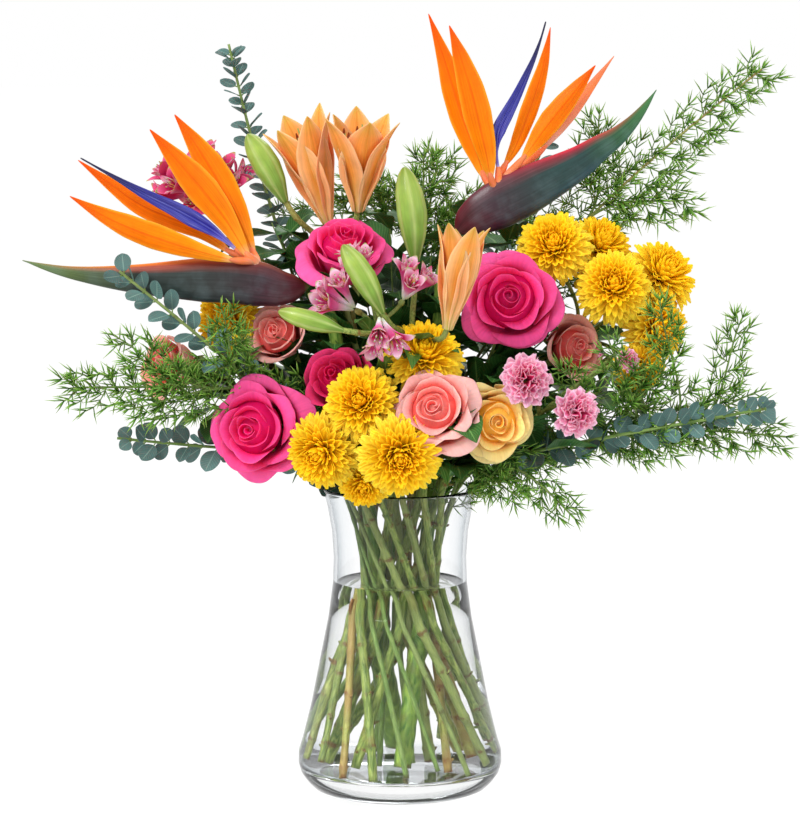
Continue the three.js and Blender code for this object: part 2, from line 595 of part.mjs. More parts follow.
for (const p of plants.filter((one) => one.leaf)) {
  const points = bodies.get(p.name)[0].points;
  const curve = new THREE.CatmullRomCurve3(points);
  const pairs = 7;
  const spots = [];
  for (let k = 0; k < pairs; k++) {
    const u = 0.56 + (0.42 * k) / (pairs - 1);
    const root = curve.getPointAt(u);
    const t = curve.getTangentAt(u);
    const across = anyAcross(t).applyAxisAngle(t, (k % 2) * Math.PI * 0.5 + 0.4);
    for (const sign of [1, -1]) {
      const direction = across.clone().multiplyScalar(sign).addScaledVector(t, 0.35).normalize();
      const size = p.leaf * (1.25 - 0.09 * k);
      spots.push({ root, direction, face: t.clone().cross(across), length: size * 1.7, half: size * 0.7 });
    }
  }
  growLeaves(p, spots);
}
for (const p of plants.filter((one) => one.frond)) {
  const curve = new THREE.CatmullRomCurve3(bodies.get(p.name)[0].points);
  const fronds = 10;
  const spots = [];
  for (let k = 0; k < fronds; k++) {
    const u = 0.58 + (0.4 * k) / (fronds - 1);
    const t = curve.getTangentAt(u);
    const across = anyAcross(t).applyAxisAngle(t, k * 2.4);
    const direction = across.clone().addScaledVector(t, 0.9).normalize();
    const length = p.frond * (1.1 - 0.05 * k);
    spots.push({ root: curve.getPointAt(u), direction, face: t.clone().cross(across), length, half: 1.2 });
  }
  growLeaves(p, spots);
}
for (const p of plants.filter((one) => one.flower)) {
  const curve = new THREE.CatmullRomCurve3(bodies.get(p.name)[0].points);
  const spots = [0.68, 0.76, 0.84].map((u, k) => {
    const t = curve.getTangentAt(u);
    const across = anyAcross(t).applyAxisAngle(t, k * 2.4 + 1);
    const direction = across.clone().addScaledVector(t, 0.8).normalize();
    return { root: curve.getPointAt(u), direction, face: t.clone().cross(across), length: 34, half: 10 };
  });
  growLeaves(p, spots);
}

const stemPaint = (p) => paints[p.heads || p.leaf || p.frond ? p.color : "stem"];
for (const p of plants) {
  const suffix = p.heads || p.leaf || p.frond ? "_spray" : p.name.endsWith("stem") ? "" : "_stem";
  show(p.name + suffix, p.stemSolid, stemPaint(p));
}

// ---- Water ----
const waterSide = inside.filter(([, z]) => z < waterLevel).map(([r, z]) => [r - clearance, z]);
let water = lathe([
  [0, glassFloor + clearance],
  [cavityFloor[0] - clearance, glassFloor + clearance],
  ...waterSide,
  [waistRadius + 0.4 - glassWall - clearance, waterLevel],
  [0, waterLevel],
]);
for (const p of plants) {
  const inWater = bodies.get(p.name)[0].points.slice(0, 3);
  inWater[0] = inWater[0].clone().addScaledVector(tangentAt(inWater, 0), -clearance);
  water = water.subtract(stemSolid(inWater, () => p.radius, clearance));
}
show("water", largestPiece(water), paints.water);

export default bouquet;
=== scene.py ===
# Bouquet with two birds of paradise in a waisted glass vase of water.
# Sizes in the dictionaries are millimetres unless a note says otherwise; the scene itself is in metres.
import math
import random

import bmesh
import bpy
from mathutils import Matrix, Vector
from mathutils.bvhtree import BVHTree


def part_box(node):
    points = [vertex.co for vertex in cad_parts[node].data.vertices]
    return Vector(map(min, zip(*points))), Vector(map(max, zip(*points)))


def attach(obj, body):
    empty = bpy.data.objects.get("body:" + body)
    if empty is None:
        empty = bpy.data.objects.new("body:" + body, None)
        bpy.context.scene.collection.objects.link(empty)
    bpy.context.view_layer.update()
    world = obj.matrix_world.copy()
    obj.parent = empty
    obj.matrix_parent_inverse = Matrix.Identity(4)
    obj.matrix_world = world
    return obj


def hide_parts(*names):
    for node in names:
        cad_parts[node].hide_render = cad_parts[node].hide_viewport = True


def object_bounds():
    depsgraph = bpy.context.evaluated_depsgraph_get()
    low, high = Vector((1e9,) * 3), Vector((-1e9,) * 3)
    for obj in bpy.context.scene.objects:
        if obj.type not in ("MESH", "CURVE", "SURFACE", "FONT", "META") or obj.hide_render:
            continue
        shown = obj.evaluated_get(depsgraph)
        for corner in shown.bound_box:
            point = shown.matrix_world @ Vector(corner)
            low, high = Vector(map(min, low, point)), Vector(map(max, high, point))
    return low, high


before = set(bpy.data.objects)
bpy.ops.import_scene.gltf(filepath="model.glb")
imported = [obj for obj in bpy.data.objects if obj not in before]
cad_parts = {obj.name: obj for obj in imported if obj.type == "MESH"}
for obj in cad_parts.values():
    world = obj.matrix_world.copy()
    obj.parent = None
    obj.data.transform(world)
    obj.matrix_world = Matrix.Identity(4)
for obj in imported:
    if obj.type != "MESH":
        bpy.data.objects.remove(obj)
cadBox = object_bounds()
mm = 0.001
goldenAngle = math.radians(137.508)
seeds = {"birds": 11, "roses": 30, "sprays": 50, "lilies": 70, "foliage": 90, "leaves": 120, "sprigs": 301}


def lerp(a, b, t):
    return a + (b - a) * t


def clamp(x, low=0.0, high=1.0):
    return min(high, max(low, x))


def readOff(pairs, u):
    # straight-line reading of [(place, value), ...]
    for (a, va), (b, vb) in zip(pairs, pairs[1:]):
        if u <= b:
            return lerp(va, vb, clamp((u - a) / (b - a)))
    return pairs[-1][1]


def smoothLine(points, count):
    # a Catmull-Rom line through the points, at evenly shared places
    padded = [points[0] * 2 - points[1], *points, points[-1] * 2 - points[-2]]
    out = []
    for i in range(count):
        s = i / (count - 1) * (len(points) - 1)
        k = min(int(s), len(points) - 2)
        t = s - k
        a, b, c, d = padded[k:k + 4]
        out.append(0.5 * (2 * b + (c - a) * t + (2 * a - 5 * b + 4 * c - d) * t * t
                          + (3 * b - a - 3 * c + d) * t ** 3))
    return out


def bezier(a, b, c, d, count):
    out = []
    for i in range(count):
        t = i / (count - 1)
        s = 1 - t
        out.append(a * s ** 3 + b * (3 * s * s * t) + c * (3 * s * t * t) + d * t ** 3)
    return out


def turnsOf(count):
    return [k * math.tau / count for k in range(count)]


def around(r, turn, z, aside=0.0):
    # a point r out from the axis, and aside along the tangent
    cos, sin = math.cos(turn), math.sin(turn)
    return Vector((r * cos - aside * sin, r * sin + aside * cos, z))


def loopRound(centre, side, other, radius, turns):
    return [centre + (side * math.cos(a) + other * math.sin(a)) * radius for a in turns]


def headings(points):
    last = len(points) - 1
    return [(points[min(i + 1, last)] - points[max(i - 1, 0)]).normalized() for i in range(last + 1)]


def framesAlong(points):
    # at each point the way on, and two directions square to it that don't spin round it
    ways = headings(points)
    side, out = ways[0].orthogonal().normalized(), []
    for p, t in zip(points, ways):
        side = (side - t * side.dot(t)).normalized()
        out.append((p, t, side, t.cross(side)))
    return out


def lengthOf(points):
    return sum((b - a).length for a, b in zip(points, points[1:]))


def spokeOf(way, turn):
    # square to the way, turned about it
    return Matrix.Rotation(turn, 3, way) @ way.orthogonal().normalized()


def standOn(at, axis, spin=0.0):
    # places a flower made upright at the origin
    turn = axis.to_track_quat("Z", "Y").to_matrix().to_4x4()
    return Matrix.Translation(at) @ turn @ Matrix.Rotation(spin, 4, "Z")


# Reading the frame
def welded(node):
    shape = bmesh.new()
    shape.from_mesh(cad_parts[node].data)
    bmesh.ops.remove_doubles(shape, verts=shape.verts, dist=2e-6)
    shape.verts.index_update()
    return shape


def spineOf(node, count):
    # centres of the rings of a long piece, from its lower end, and the half width at each
    shape = welded(node)
    verts = list(shape.verts)
    ends = max(((a, b) for a in verts for b in verts), key=lambda pair: (pair[0].co - pair[1].co).length)
    start = min(ends, key=lambda v: v.co.z)
    seen, ring, centres, widths = {start}, [start], [], []
    while ring:
        centres.append(sum((v.co for v in ring), Vector()) / len(ring))
        widths.append(max((v.co - centres[-1]).length for v in ring))
        ring = sorted({e.other_vert(v) for v in ring for e in v.link_edges} - seen, key=lambda v: v.index)
        seen.update(ring)
    shape.free()
    return smoothLine(centres, count), widths


def headsOf(node, ringShare, reach):
    # the flowers merged into a spray: each ends in a point where nine even edges meet
    shape = welded(node)
    found, sides, uneven = [], 9, 1.08
    for v in shape.verts:
        spokes = [e.other_vert(v).co - v.co for e in v.link_edges]
        lengths = [s.length for s in spokes]
        if len(spokes) != sides or max(lengths) > min(lengths) * uneven:
            continue
        middle = sum(spokes, Vector()) / sides
        radius = sum((s - middle).length for s in spokes) / sides / ringShare
        axis = -middle.normalized()
        found.append({"front": v.co.copy(), "axis": axis, "radius": radius, "length": radius * 2 * reach})
    shape.free()
    return sorted(found, key=lambda head: -head["radius"])


def followStem(node, radius, until=None):
    # walks up the inside of a stem from its cut end, keeping to the middle and feeling round each bend
    shape = welded(node)
    corners = [v.co.copy() for v in shape.verts]
    walls = BVHTree.FromPolygons(corners, [[v.index for v in f.verts] for f in shape.faces])
    shape.free()

    def centred(p, heading):
        side = heading.orthogonal().normalized()
        other = heading.cross(side)
        for _ in range(3):
            shift, pairs = Vector(), 0
            for k in range(6):
                ray = side * math.cos(k * math.pi / 6) + other * math.sin(k * math.pi / 6)
                near = walls.ray_cast(p, ray, radius * 2)[3]
                far = walls.ray_cast(p, -ray, radius * 2)[3]
                if near is not None and far is not None and near + far < radius * 3:
                    shift += ray * (near - far) * 0.5
                    pairs += 1
            if pairs < 2:
                return None
            p = p + shift * (1.6 / pairs)
        return p

    lowest = min(corners, key=lambda c: c.z)
    foot = [c for c in corners if (c - lowest).length < radius * 2.3]
    here = sum(foot, Vector()) / len(foot)
    path, heading, step, longest = [here.copy()], Vector((0, 0, 1)), 3 * mm, 320
    while len(path) < longest:
        here, side = None, heading.orthogonal().normalized()
        for bend in (0, 0.3, 0.6):
            for k in range(8 if bend else 1):
                hinge = Matrix.Rotation(k * math.tau / 8, 3, heading) @ side
                way = Matrix.Rotation(bend, 3, hinge) @ heading
                found = centred(path[-1] + way * step, way)
                if found and (found - path[-1]).dot(heading) > step * 0.5:
                    here = found
                    break
            if here:
                break
        if not here:
            break
        path.append(here)
        if until and (here - until).length < 5 * mm:
            path.append(until)
            break
        heading = (here - path[max(0, len(path) - 4)]).normalized()
    return path


# Making meshes
class Making:
    # gathers sheets and tubes; each corner's tint is (across, along, own tone, place from heart to rim)
    def __init__(self):
        self.corners, self.faces, self.tints = [], [], []

    def sheet(self, rows, tone=0.5, place=0.5, matrix=None):
        first, wide = len(self.corners), len(rows[0])
        for j, row in enumerate(rows):
            for i, p in enumerate(row):
                self.corners.append(matrix @ p if matrix else p)
                self.tints.append((i / (wide - 1), j / (len(rows) - 1), tone, place))
        for j in range(len(rows) - 1):
            for i in range(wide - 1):
                a = first + j * wide + i
                self.faces.append((a, a + 1, a + wide + 1, a + wide))

    def tube(self, rings, tone=0.5, place=0.5, matrix=None):
        # closed loops of points, shut at both ends
        first, wide = len(self.corners), len(rings[0])
        for j, ring in enumerate(rings):
            for i, p in enumerate(ring):
                self.corners.append(matrix @ p if matrix else p)
                self.tints.append((i / wide, j / (len(rings) - 1), tone, place))
        for j in range(len(rings) - 1):
            for i in range(wide):
                a, b = first + j * wide + i, first + j * wide + (i + 1) % wide
                self.faces.append((a, b, b + wide, a + wide))
        for j, flip in ((0, True), (len(rings) - 1, False)):
            loop = list(range(first + j * wide, first + (j + 1) * wide))
            self.faces.append(tuple(reversed(loop)) if flip else tuple(loop))

    def rod(self, points, radiusAt, sides=8, tone=0.5, place=0.5):
        last = len(points) - 1
        self.tube([loopRound(p, side, other, radiusAt(i / last), turnsOf(sides))
                   for i, (p, _, side, other) in enumerate(framesAlong(points))], tone, place)

    def finish(self, name, material, slotName, nodes, thick=0.0, rounding=1):
        mesh = bpy.data.meshes.new(name)
        mesh.from_pydata([tuple(c) for c in self.corners], [], self.faces)
        tint = mesh.color_attributes.new("tint", "FLOAT_COLOR", "POINT")
        tint.data.foreach_set("color", [x for t in self.tints for x in t])
        mesh.shade_smooth()
        mesh.materials.append(material)
        piece = bpy.data.objects.new(name, mesh)
        bpy.context.scene.collection.objects.link(piece)
        if thick:
            shell = piece.modifiers.new("thickness", "SOLIDIFY")
            shell.thickness = thick * mm
            shell.offset = 0
        if rounding:
            smooth = piece.modifiers.new("rounding", "SUBSURF")
            smooth.levels = smooth.render_levels = rounding
        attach(piece, "root")
        if nodes:
            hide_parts(*nodes)
        return piece


# Finishes
def hexColor(text):
    parts = [int(text[i:i + 2], 16) / 255 for i in (0, 2, 4)]
    return tuple(c / 12.92 if c <= 0.04045 else ((c + 0.055) / 1.055) ** 2.4 for c in parts) + (1,)


class Finish:
    # a material and the few node steps that every finish here is made of
    def __init__(self, name, roughness=0.5, coat=0.0, glow=0.0, shine=0.25):
        self.material = bpy.data.materials.new(name)
        self.material.use_nodes = True
        self.nodes = self.material.node_tree.nodes
        self.shader = self.nodes["Principled BSDF"]
        self.shader.inputs["Roughness"].default_value = roughness
        self.shader.inputs["Specular IOR Level"].default_value = shine
        self.shader.inputs["Coat Weight"].default_value = coat
        self.shader.inputs["Subsurface Weight"].default_value = glow
        self.shader.inputs["Subsurface Scale"].default_value = 0.006
        tint = self.add("ShaderNodeAttribute")
        tint.attribute_name = "tint"
        split = self.add("ShaderNodeSeparateColor", Color=tint.outputs["Color"])
        self.across, self.along, self.tone = split.outputs[0], split.outputs[1], split.outputs[2]
        self.place = tint.outputs["Alpha"]
        self.spot = self.add("ShaderNodeTexCoord").outputs["Object"]

    def add(self, kind, **inputs):
        node = self.nodes.new(kind)
        for key, value in inputs.items():
            self.feed(node.inputs[key.replace("_", " ")], value)
        return node

    def feed(self, socket, value):
        if isinstance(value, bpy.types.NodeSocket):
            self.material.node_tree.links.new(value, socket)
        else:
            socket.default_value = value

    def math(self, how, a, b=0.0):
        node = self.add("ShaderNodeMath")
        node.operation = how
        self.feed(node.inputs[0], a)
        self.feed(node.inputs[1], b)
        return node.outputs[0]

    def cloud(self, scale, detail=3.0, stretch=None):
        # noise in the object's own space; stretch squeezes it along an axis
        place = self.spot
        if stretch:
            place = self.add("ShaderNodeMapping", Vector=place, Scale=stretch).outputs[0]
        return self.add("ShaderNodeTexNoise", Vector=place, Scale=scale, Detail=detail).outputs[0]

    def streaks(self, count, length, wobble=0.6):
        # fine lines that run from base to tip, whatever way the piece points
        across = self.math("MULTIPLY", self.across, count)
        along = self.math("MULTIPLY", self.along, length)
        own = self.math("MULTIPLY", self.tone, 37.0)
        place = self.add("ShaderNodeCombineXYZ", X=across, Y=along, Z=own).outputs[0]
        lines = self.add("ShaderNodeTexNoise", Vector=place, Scale=1.0, Detail=2.0, Distortion=wobble)
        return lines.outputs[0]

    def ramp(self, value, stops):
        node = self.add("ShaderNodeValToRGB", Fac=value)
        points = node.color_ramp.elements
        while len(points) < len(stops):
            points.new(0.5)
        for point, (place, color) in zip(points, stops):
            point.position = place
            point.color = hexColor(color) if isinstance(color, str) else (color, color, color, 1)
        return node.outputs[0]

    def mix(self, share, a, b, how="MIX"):
        node = self.add("ShaderNodeMix")
        node.data_type, node.blend_type = "RGBA", how
        for index, value in ((0, share), (6, a), (7, b)):
            self.feed(node.inputs[index], hexColor(value) if isinstance(value, str) else value)
        return node.outputs[2]

    def fromRib(self):
        return self.math("ABSOLUTE", self.math("SUBTRACT", self.across, 0.5))

    def streaked(self, color, streak, margin, low, high):
        # darker and lighter lines, where the streaks leave a margin at both ends
        return self.mix(1.0, color, self.ramp(streak, [(margin, low), (1 - margin, high)]), "MULTIPLY")

    def shade(self, color, low=0.82, high=1.12):
        # lighter and darker pieces, and a soft cloud over each
        tone = self.ramp(self.tone, [(0, low), (1, high)])
        cloud = self.ramp(self.cloud(90, 4), [(0.3, 0.9), (0.7, 1.06)])
        return self.mix(1.0, self.mix(1.0, color, tone, "MULTIPLY"), cloud, "MULTIPLY")

    def done(self, color, height=None, strength=0.3, deep=0.4):
        self.feed(self.shader.inputs["Base Color"], color)
        if height is not None:
            bump = self.add("ShaderNodeBump", Strength=strength, Distance=deep * mm, Height=height)
            self.feed(self.shader.inputs["Normal"], bump.outputs[0])
        return self.material


def petalFinish(name, heart, body, rim, foot, vein=0.08, roughness=0.55):
    # heart to rim over the flower, a paler or deeper edge on each petal, a deep foot colour at each petal's
    # base painted as the shade inside the bloom, and fine veins
    f = Finish(name, roughness, glow=0.3, shine=0.06)
    color = f.ramp(f.place, [(0.0, heart), (0.45, body), (1.0, rim)])
    color = f.mix(f.ramp(f.along, [(0.78, 0.0), (1.0, 0.55)]), color, rim)
    # painted shade: each petal darkens toward the foot colour at its base, where it lies deep in the bloom
    color = f.mix(f.ramp(f.along, [(0.25, 0.9), (0.78, 0.0)]), color, foot)
    streak = f.streaks(26, 2.5)
    color = f.streaked(color, streak, 0.35, 1.0 - vein, 1.0 + vein * 0.5)
    return f.done(f.shade(color), streak, 0.25, 0.3)


def leafFinish(name, dark, light, rib, roughness=0.45, veins=16):
    f = Finish(name, roughness, glow=0.05, shine=0.2)
    fromRib = f.fromRib()
    slant = f.math("SUBTRACT", f.math("MULTIPLY", f.along, veins), f.math("MULTIPLY", fromRib, veins * 0.55))
    wave = f.math("PINGPONG", slant, 0.5)
    side = f.ramp(wave, [(0.0, 1.0), (0.16, 0.0)])
    color = f.mix(f.cloud(60, 5), dark, light)
    color = f.mix(f.math("MULTIPLY", side, 0.35), color, rib)
    color = f.mix(f.ramp(fromRib, [(0.0, 0.85), (0.045, 0.0)]), color, rib)
    height = f.math("SUBTRACT", f.cloud(700, 2), f.math("MULTIPLY", side, 0.7))
    return f.done(f.shade(color, 0.7, 1.15), height, 0.35, 0.35)


def stemFinish(name, green, pale, knuckle, roughness=0.42):
    # place is 1 at the knuckles and at the cut end
    f = Finish(name, roughness)
    streak = f.streaks(9, 30, 1.2)
    color = f.mix(f.ramp(streak, [(0.32, 0.0), (0.66, 1.0)]), green, pale)
    color = f.mix(f.ramp(f.tone, [(0.0, 0.55), (0.3, 0.0)]), color, "b4c478")
    woody = f.math("MULTIPLY", f.ramp(f.tone, [(0.62, 0.0), (0.7, 1.0)]),
                   f.ramp(f.cloud(26, 3), [(0.35, 0.2), (0.6, 0.85)]))
    color = f.mix(woody, color, "9a7c48")
    patch = f.cloud(160, 4)
    color = f.mix(f.math("MULTIPLY", f.ramp(f.cloud(70, 5), [(0.55, 0.0), (0.7, 1.0)]), 0.4), color, knuckle)
    mark = f.math("MULTIPLY", f.place, f.ramp(patch, [(0.42, 0.25), (0.6, 1.3)]))
    color = f.mix(f.ramp(mark, [(0.3, 0.0), (0.8, 0.8)]), color, knuckle)
    return f.done(f.shade(color, 0.7, 1.15), f.mix(0.5, streak, patch), 0.35, 0.35)


stemGreen = stemFinish("fresh_stem", "51702a", "a3b45e", "74421f")
birdStalk = stemFinish("bird_stalk", "4b7628", "8eac4a", "6a5a2c")
leafStalk = stemFinish("leaf_stalk", "5b7f38", "86a055", "6d6a38")
roseLeaf = leafFinish("rose_leaf", "1f4a1c", "3a7230", "79a85a")
lilyLeaf = leafFinish("lily_leaf", "2c5a22", "4c8436", "86b060", veins=3)
gumLeaf = leafFinish("gum_leaf", "345652", "648884", "86a79b", roughness=0.6, veins=9)


def needleFinish():
    f = Finish("fern_needle", 0.5, glow=0.05)
    color = f.ramp(f.along, [(0.0, "447826"), (0.6, "6c9e3a"), (1.0, "a2c460")])
    return f.done(f.shade(color, 0.65, 1.3), f.cloud(900, 2), 0.2, 0.2)


fernNeedle = needleFinish()

# Vase and water
vase = {
    "outline": [(0, 3.4), (20, 3.0), (38, 1.7), (49, 0.5), (54, 0), (61, 0.8), (66.5, 3.2), (71, 8),
                (75.2, 14), (77, 21), (76.6, 30), (73.4, 40), (67, 66), (59.6, 104), (54, 132),
                (50.6, 158), (50, 178), (51.4, 198), (54.6, 216), (57.4, 227)],
    "height": 230,  # of the outline and its lip, before it is fitted to the frame
    "wall": 2.9,
    "floor": 16.5,
    "water": 158,
    "turns": 96,
}


def turned(making, profile, turns):
    # a closed outline turned about the vertical axis; its two ends lie on the axis
    first, rings = len(making.corners), profile[1:-1]
    for r, z in rings:
        for k, a in enumerate(turnsOf(turns)):
            making.corners.append(around(r, a, z) * mm)
            making.tints.append((k / turns, z / vase["height"], 0.5, 0.5))
    for j in range(len(rings) - 1):
        for k in range(turns):
            a, b = first + j * turns + k, first + j * turns + (k + 1) % turns
            making.faces.append((a, b, b + turns, a + turns))
    for end, ring in ((profile[0], 0), (profile[-1], len(rings) - 1)):
        making.corners.append(Vector((0, 0, end[1])) * mm)
        making.tints.append((0.5, 0.5, 0.5, 0.5))
        tip = len(making.corners) - 1
        for k in range(turns):
            a, b = first + ring * turns + k, first + ring * turns + (k + 1) % turns
            making.faces.append((b, a, tip) if ring == 0 else (a, b, tip))


def clearFinish(name, edges, ior, ripple):
    # clear, and darker where the wall is seen edge on
    f = Finish(name, 0.0, shine=0.12)
    f.shader.inputs["Transmission Weight"].default_value = 1.0
    f.shader.inputs["IOR"].default_value = ior
    f.shader.inputs["Specular Tint"].default_value = (0.3, 0.31, 0.32, 1)
    facing = f.add("ShaderNodeLayerWeight", Blend=0.5).outputs["Facing"]
    clearness = f.ramp(f.cloud(30, 2), [(0.3, 0.99), (0.7, 1.0)])
    color = f.mix(1.0, f.ramp(facing, edges), clearness, "MULTIPLY")
    return f.done(color, f.cloud(14, 1), ripple, 0.5)


glassEdges = [(0.2, "ffffff"), (0.5, "eef1f3"), (0.7, "c4cbd0"), (0.85, "747e86"), (0.95, "343c42"),
              (1.0, "1c2226")]
waterEdges = [(0.4, "ffffff"), (0.8, "edf1f1"), (1.0, "b4bdbf")]


def makeVase():
    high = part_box("vase")[1]
    outer = [(r, z * (high.z / mm) / vase["height"]) for r, z in vase["outline"]]
    wall, floor = vase["wall"], vase["floor"]
    inner = [(r - wall - max(0, 44 - z) * 0.1, z) for r, z in outer if z > floor + 9]
    foot = inner[0][0]
    bowl = [(foot - 1.6, floor + 5), (foot - 6, floor + 1.2), (foot - 14, floor), (0, floor - 0.5)]
    top = high.z / mm
    lip = [(58.2, top - 1.6), (58.3, top - 0.5), (57.4, top), (56.2, top - 0.2), (55.2, top - 1.4)]
    making = Making()
    turned(making, outer + lip + list(reversed(inner)) + bowl, vase["turns"])
    glass = clearFinish("clear_glass", glassEdges, 1.46, 0.03)
    making.finish("glass_vase", glass, "glass", ["vase"], rounding=0).visible_shadow = False

    level = vase["water"]
    side = [(r + 0.15, z) for r, z in inner if z < level - 6]
    above = [p for p in inner if p[1] > level - 6][0]
    below = side[-1]
    edge = lerp(below[0], above[0], (level - below[1]) / (above[1] - below[1]))
    making = Making()
    bottom = [(0, floor - 0.6), (foot - 13.8, floor - 0.1), (foot - 5.8, floor + 1.1),
              (foot - 1.4, floor + 4.9)]
    surface = [(edge, level + 1.2), (edge - 0.7, level + 0.3), (edge - 2.2, level),
               (edge - 12, level - 0.1), (0, level - 0.1)]
    turned(making, bottom + side + surface, vase["turns"])
    water = clearFinish("clear_water", waterEdges, 1.33, 0.0)
    making.finish("vase_water", water, "water", ["water"], rounding=0).visible_shadow = False


makeVase()
print("vase and water made")

# Stems
# knuckles: how far apart they stand; swell: how much thicker the stem is there; scars: cut leaf stubs
stalks = {
    "rose": {"radius": 2.8, "knuckles": 31, "swell": 0.26, "scars": True},
    "bird": {"radius": 5.2, "knuckles": 0, "swell": 0.0, "scars": False},
    "lily": {"radius": 3.4, "knuckles": 22, "swell": 0.1, "scars": True},
    "spray": {"radius": 2.4, "knuckles": 26, "swell": 0.2, "scars": True},
    "twig": {"radius": 1.9, "knuckles": 34, "swell": 0.15, "scars": False},
    "fern": {"radius": 1.7, "knuckles": 30, "swell": 0.2, "scars": False},
}
fullness = 1.18  # the stems are a little stouter than the radius they are followed with
linesOf = {}  # node name to the line of its stem, kept for the leaves and flowers that come later


def addStalk(making, path, kind, rng, radius=None, endShare=0.75):
    # radius in millimetres, where it isn't the kind's own; gives the points of the stem's line
    look = stalks[kind]
    radius = (radius or look["radius"] * fullness) * mm
    tone = rng.random() * (0.66 if kind == "twig" else 1.0)
    length = lengthOf(path)
    count = max(8, int(length / (3.5 * mm)))
    points = smoothLine(path[::5] + ([path[-1]] if (len(path) - 1) % 5 else []), count)
    gap = look["knuckles"] * mm
    knots = []
    if gap:
        at = gap * rng.uniform(0.25, 0.8)
        while at < length:
            knots.append(at)
            at += gap * rng.uniform(0.75, 1.3)
    rings, marks = [], []
    for i, (p, _, side, other) in enumerate(framesAlong(points)):
        u = i / (count - 1)
        at = u * length
        near = min((abs(at - k) for k in knots), default=1)
        bulge = math.exp(-(near / (0.75 * radius)) ** 2)
        uneven = 1 + 0.03 * math.sin(at * 400 + tone * 9)
        r = radius * lerp(1.0, endShare, u) * (1 + look["swell"] * bulge) * uneven
        rings.append(loopRound(p, side, other, r, turnsOf(12)))
        marks.append(max(0.85 * bulge * (look["swell"] > 0.05), 1.0 if at < 1.2 * mm else 0.0))
    first = len(making.corners)
    making.tube(rings, tone, 0.0)
    for i, mark in enumerate(marks):
        for k in range(12):
            across, along, own, _ = making.tints[first + i * 12 + k]
            making.tints[first + i * 12 + k] = (across, along, own, mark)
    if look["scars"]:
        # a trimmed leaf stub at each knuckle
        for n, at in enumerate(knots):
            i = min(count - 2, int(at / length * (count - 1)))
            t = headings(points)[i]
            out = spokeOf(t, n * goldenAngle + tone * 6)
            tip = points[i] + out * radius * rng.uniform(1.45, 1.9) + t * radius * 0.7
            making.rod([points[i] + out * radius * 0.5, lerp(points[i] + out * radius, tip, 0.4), tip],
                       lambda u: radius * lerp(0.5, 0.2, u), 6, tone, 0.75)
    return points


def makeStalk(node, kind, seed):
    rng = random.Random(seed)
    line = followStem(node, stalks[kind]["radius"] * mm)
    making = Making()
    linesOf[node] = addStalk(making, line, kind, rng)
    return making


# Birds of paradise
def sepalFinish():
    f = Finish("orange_sepal", 0.4, glow=0.15, shine=0.1)
    edge = f.fromRib()
    color = f.ramp(f.along, [(0.0, "f7c88e"), (0.08, "ff9c20"), (0.25, "ff8400"), (0.75, "fb7400"),
                             (1.0, "ee4e02")])
    color = f.mix(f.ramp(edge, [(0.36, 0.0), (0.5, 0.75)]), color, "ffb42c")
    color = f.mix(f.ramp(edge, [(0.0, 0.7), (0.06, 0.0)]), color, "dd5600")
    streak = f.streaks(30, 2.2)
    color = f.streaked(color, streak, 0.3, 0.78, 1.08)
    return f.done(f.shade(color, 0.92, 1.05), streak, 0.45, 0.45)


def paleSepalFinish():
    f = Finish("pale_sepal", 0.45, glow=0.15, shine=0.2)
    color = f.ramp(f.along, [(0.0, "f6d9c8"), (0.3, "f5b48a"), (0.7, "f98a3c"), (1.0, "ee8a52")])
    streak = f.streaks(20, 3.0)
    color = f.mix(f.ramp(streak, [(0.4, 0.5), (0.65, 0.0)]), color, "e9786a")
    return f.done(f.shade(color), streak, 0.4, 0.4)


def bluePetalFinish():
    f = Finish("blue_petal", 0.38, shine=0.3)
    color = f.ramp(f.along, [(0.0, "e6dcec"), (0.08, "6a62c8"), (0.22, "2a2a96"), (0.62, "22227e"),
                             (0.8, "1a184c"), (1.0, "15132e")])
    streak = f.streaks(18, 4.0)
    pale = f.math("MULTIPLY", f.ramp(streak, [(0.5, 0.0), (0.7, 0.8)]),
                  f.ramp(f.along, [(0.2, 1.0), (0.8, 0.1)]))
    color = f.mix(pale, color, "9a9ed8")
    return f.done(color, streak, 0.4, 0.4)


def spatheFinish(name, upper, edge, body, belly, tip):
    # across runs round the sheath: 0 and 1 are its lower keel and 0.5 its upper edge
    f = Finish(name, 0.33, coat=0.05, shine=0.3)
    up = f.math("SUBTRACT", 1.0, f.math("MULTIPLY", f.fromRib(), 2.0))
    up = f.math("ADD", up, f.math("MULTIPLY", f.math("SUBTRACT", f.streaks(14, 3), 0.5), 0.12))
    color = f.ramp(up, [(0.0, belly), (0.35, body), (0.6, body), (0.76, upper), (0.88, edge), (1.0, edge)])
    neck = f.ramp(f.along, [(0.0, "5f7c34"), (0.04, "5c2028"), (0.24, "3c1828"), (0.5, body)])
    color = f.mix(f.ramp(f.along, [(0.2, 0.9), (0.55, 0.0)]), color, neck)
    color = f.mix(f.ramp(f.along, [(0.6, 0.0), (0.95, 0.9)]), color, tip)
    bloomOn = f.math("MULTIPLY", f.ramp(f.cloud(60, 6), [(0.45, 0.0), (0.8, 1.0)]),
                     f.ramp(up, [(0.45, 0.2), (0.8, 0.05)]))
    color = f.mix(bloomOn, color, "7d979c")
    streak = f.streaks(60, 5)
    color = f.streaked(color, streak, 0.3, 0.75, 1.2)
    return f.done(color, f.mix(0.5, streak, f.cloud(500, 3)), 0.3, 0.35)


orangeSepal, paleSepal, bluePetal = sepalFinish(), paleSepalFinish(), bluePetalFinish()
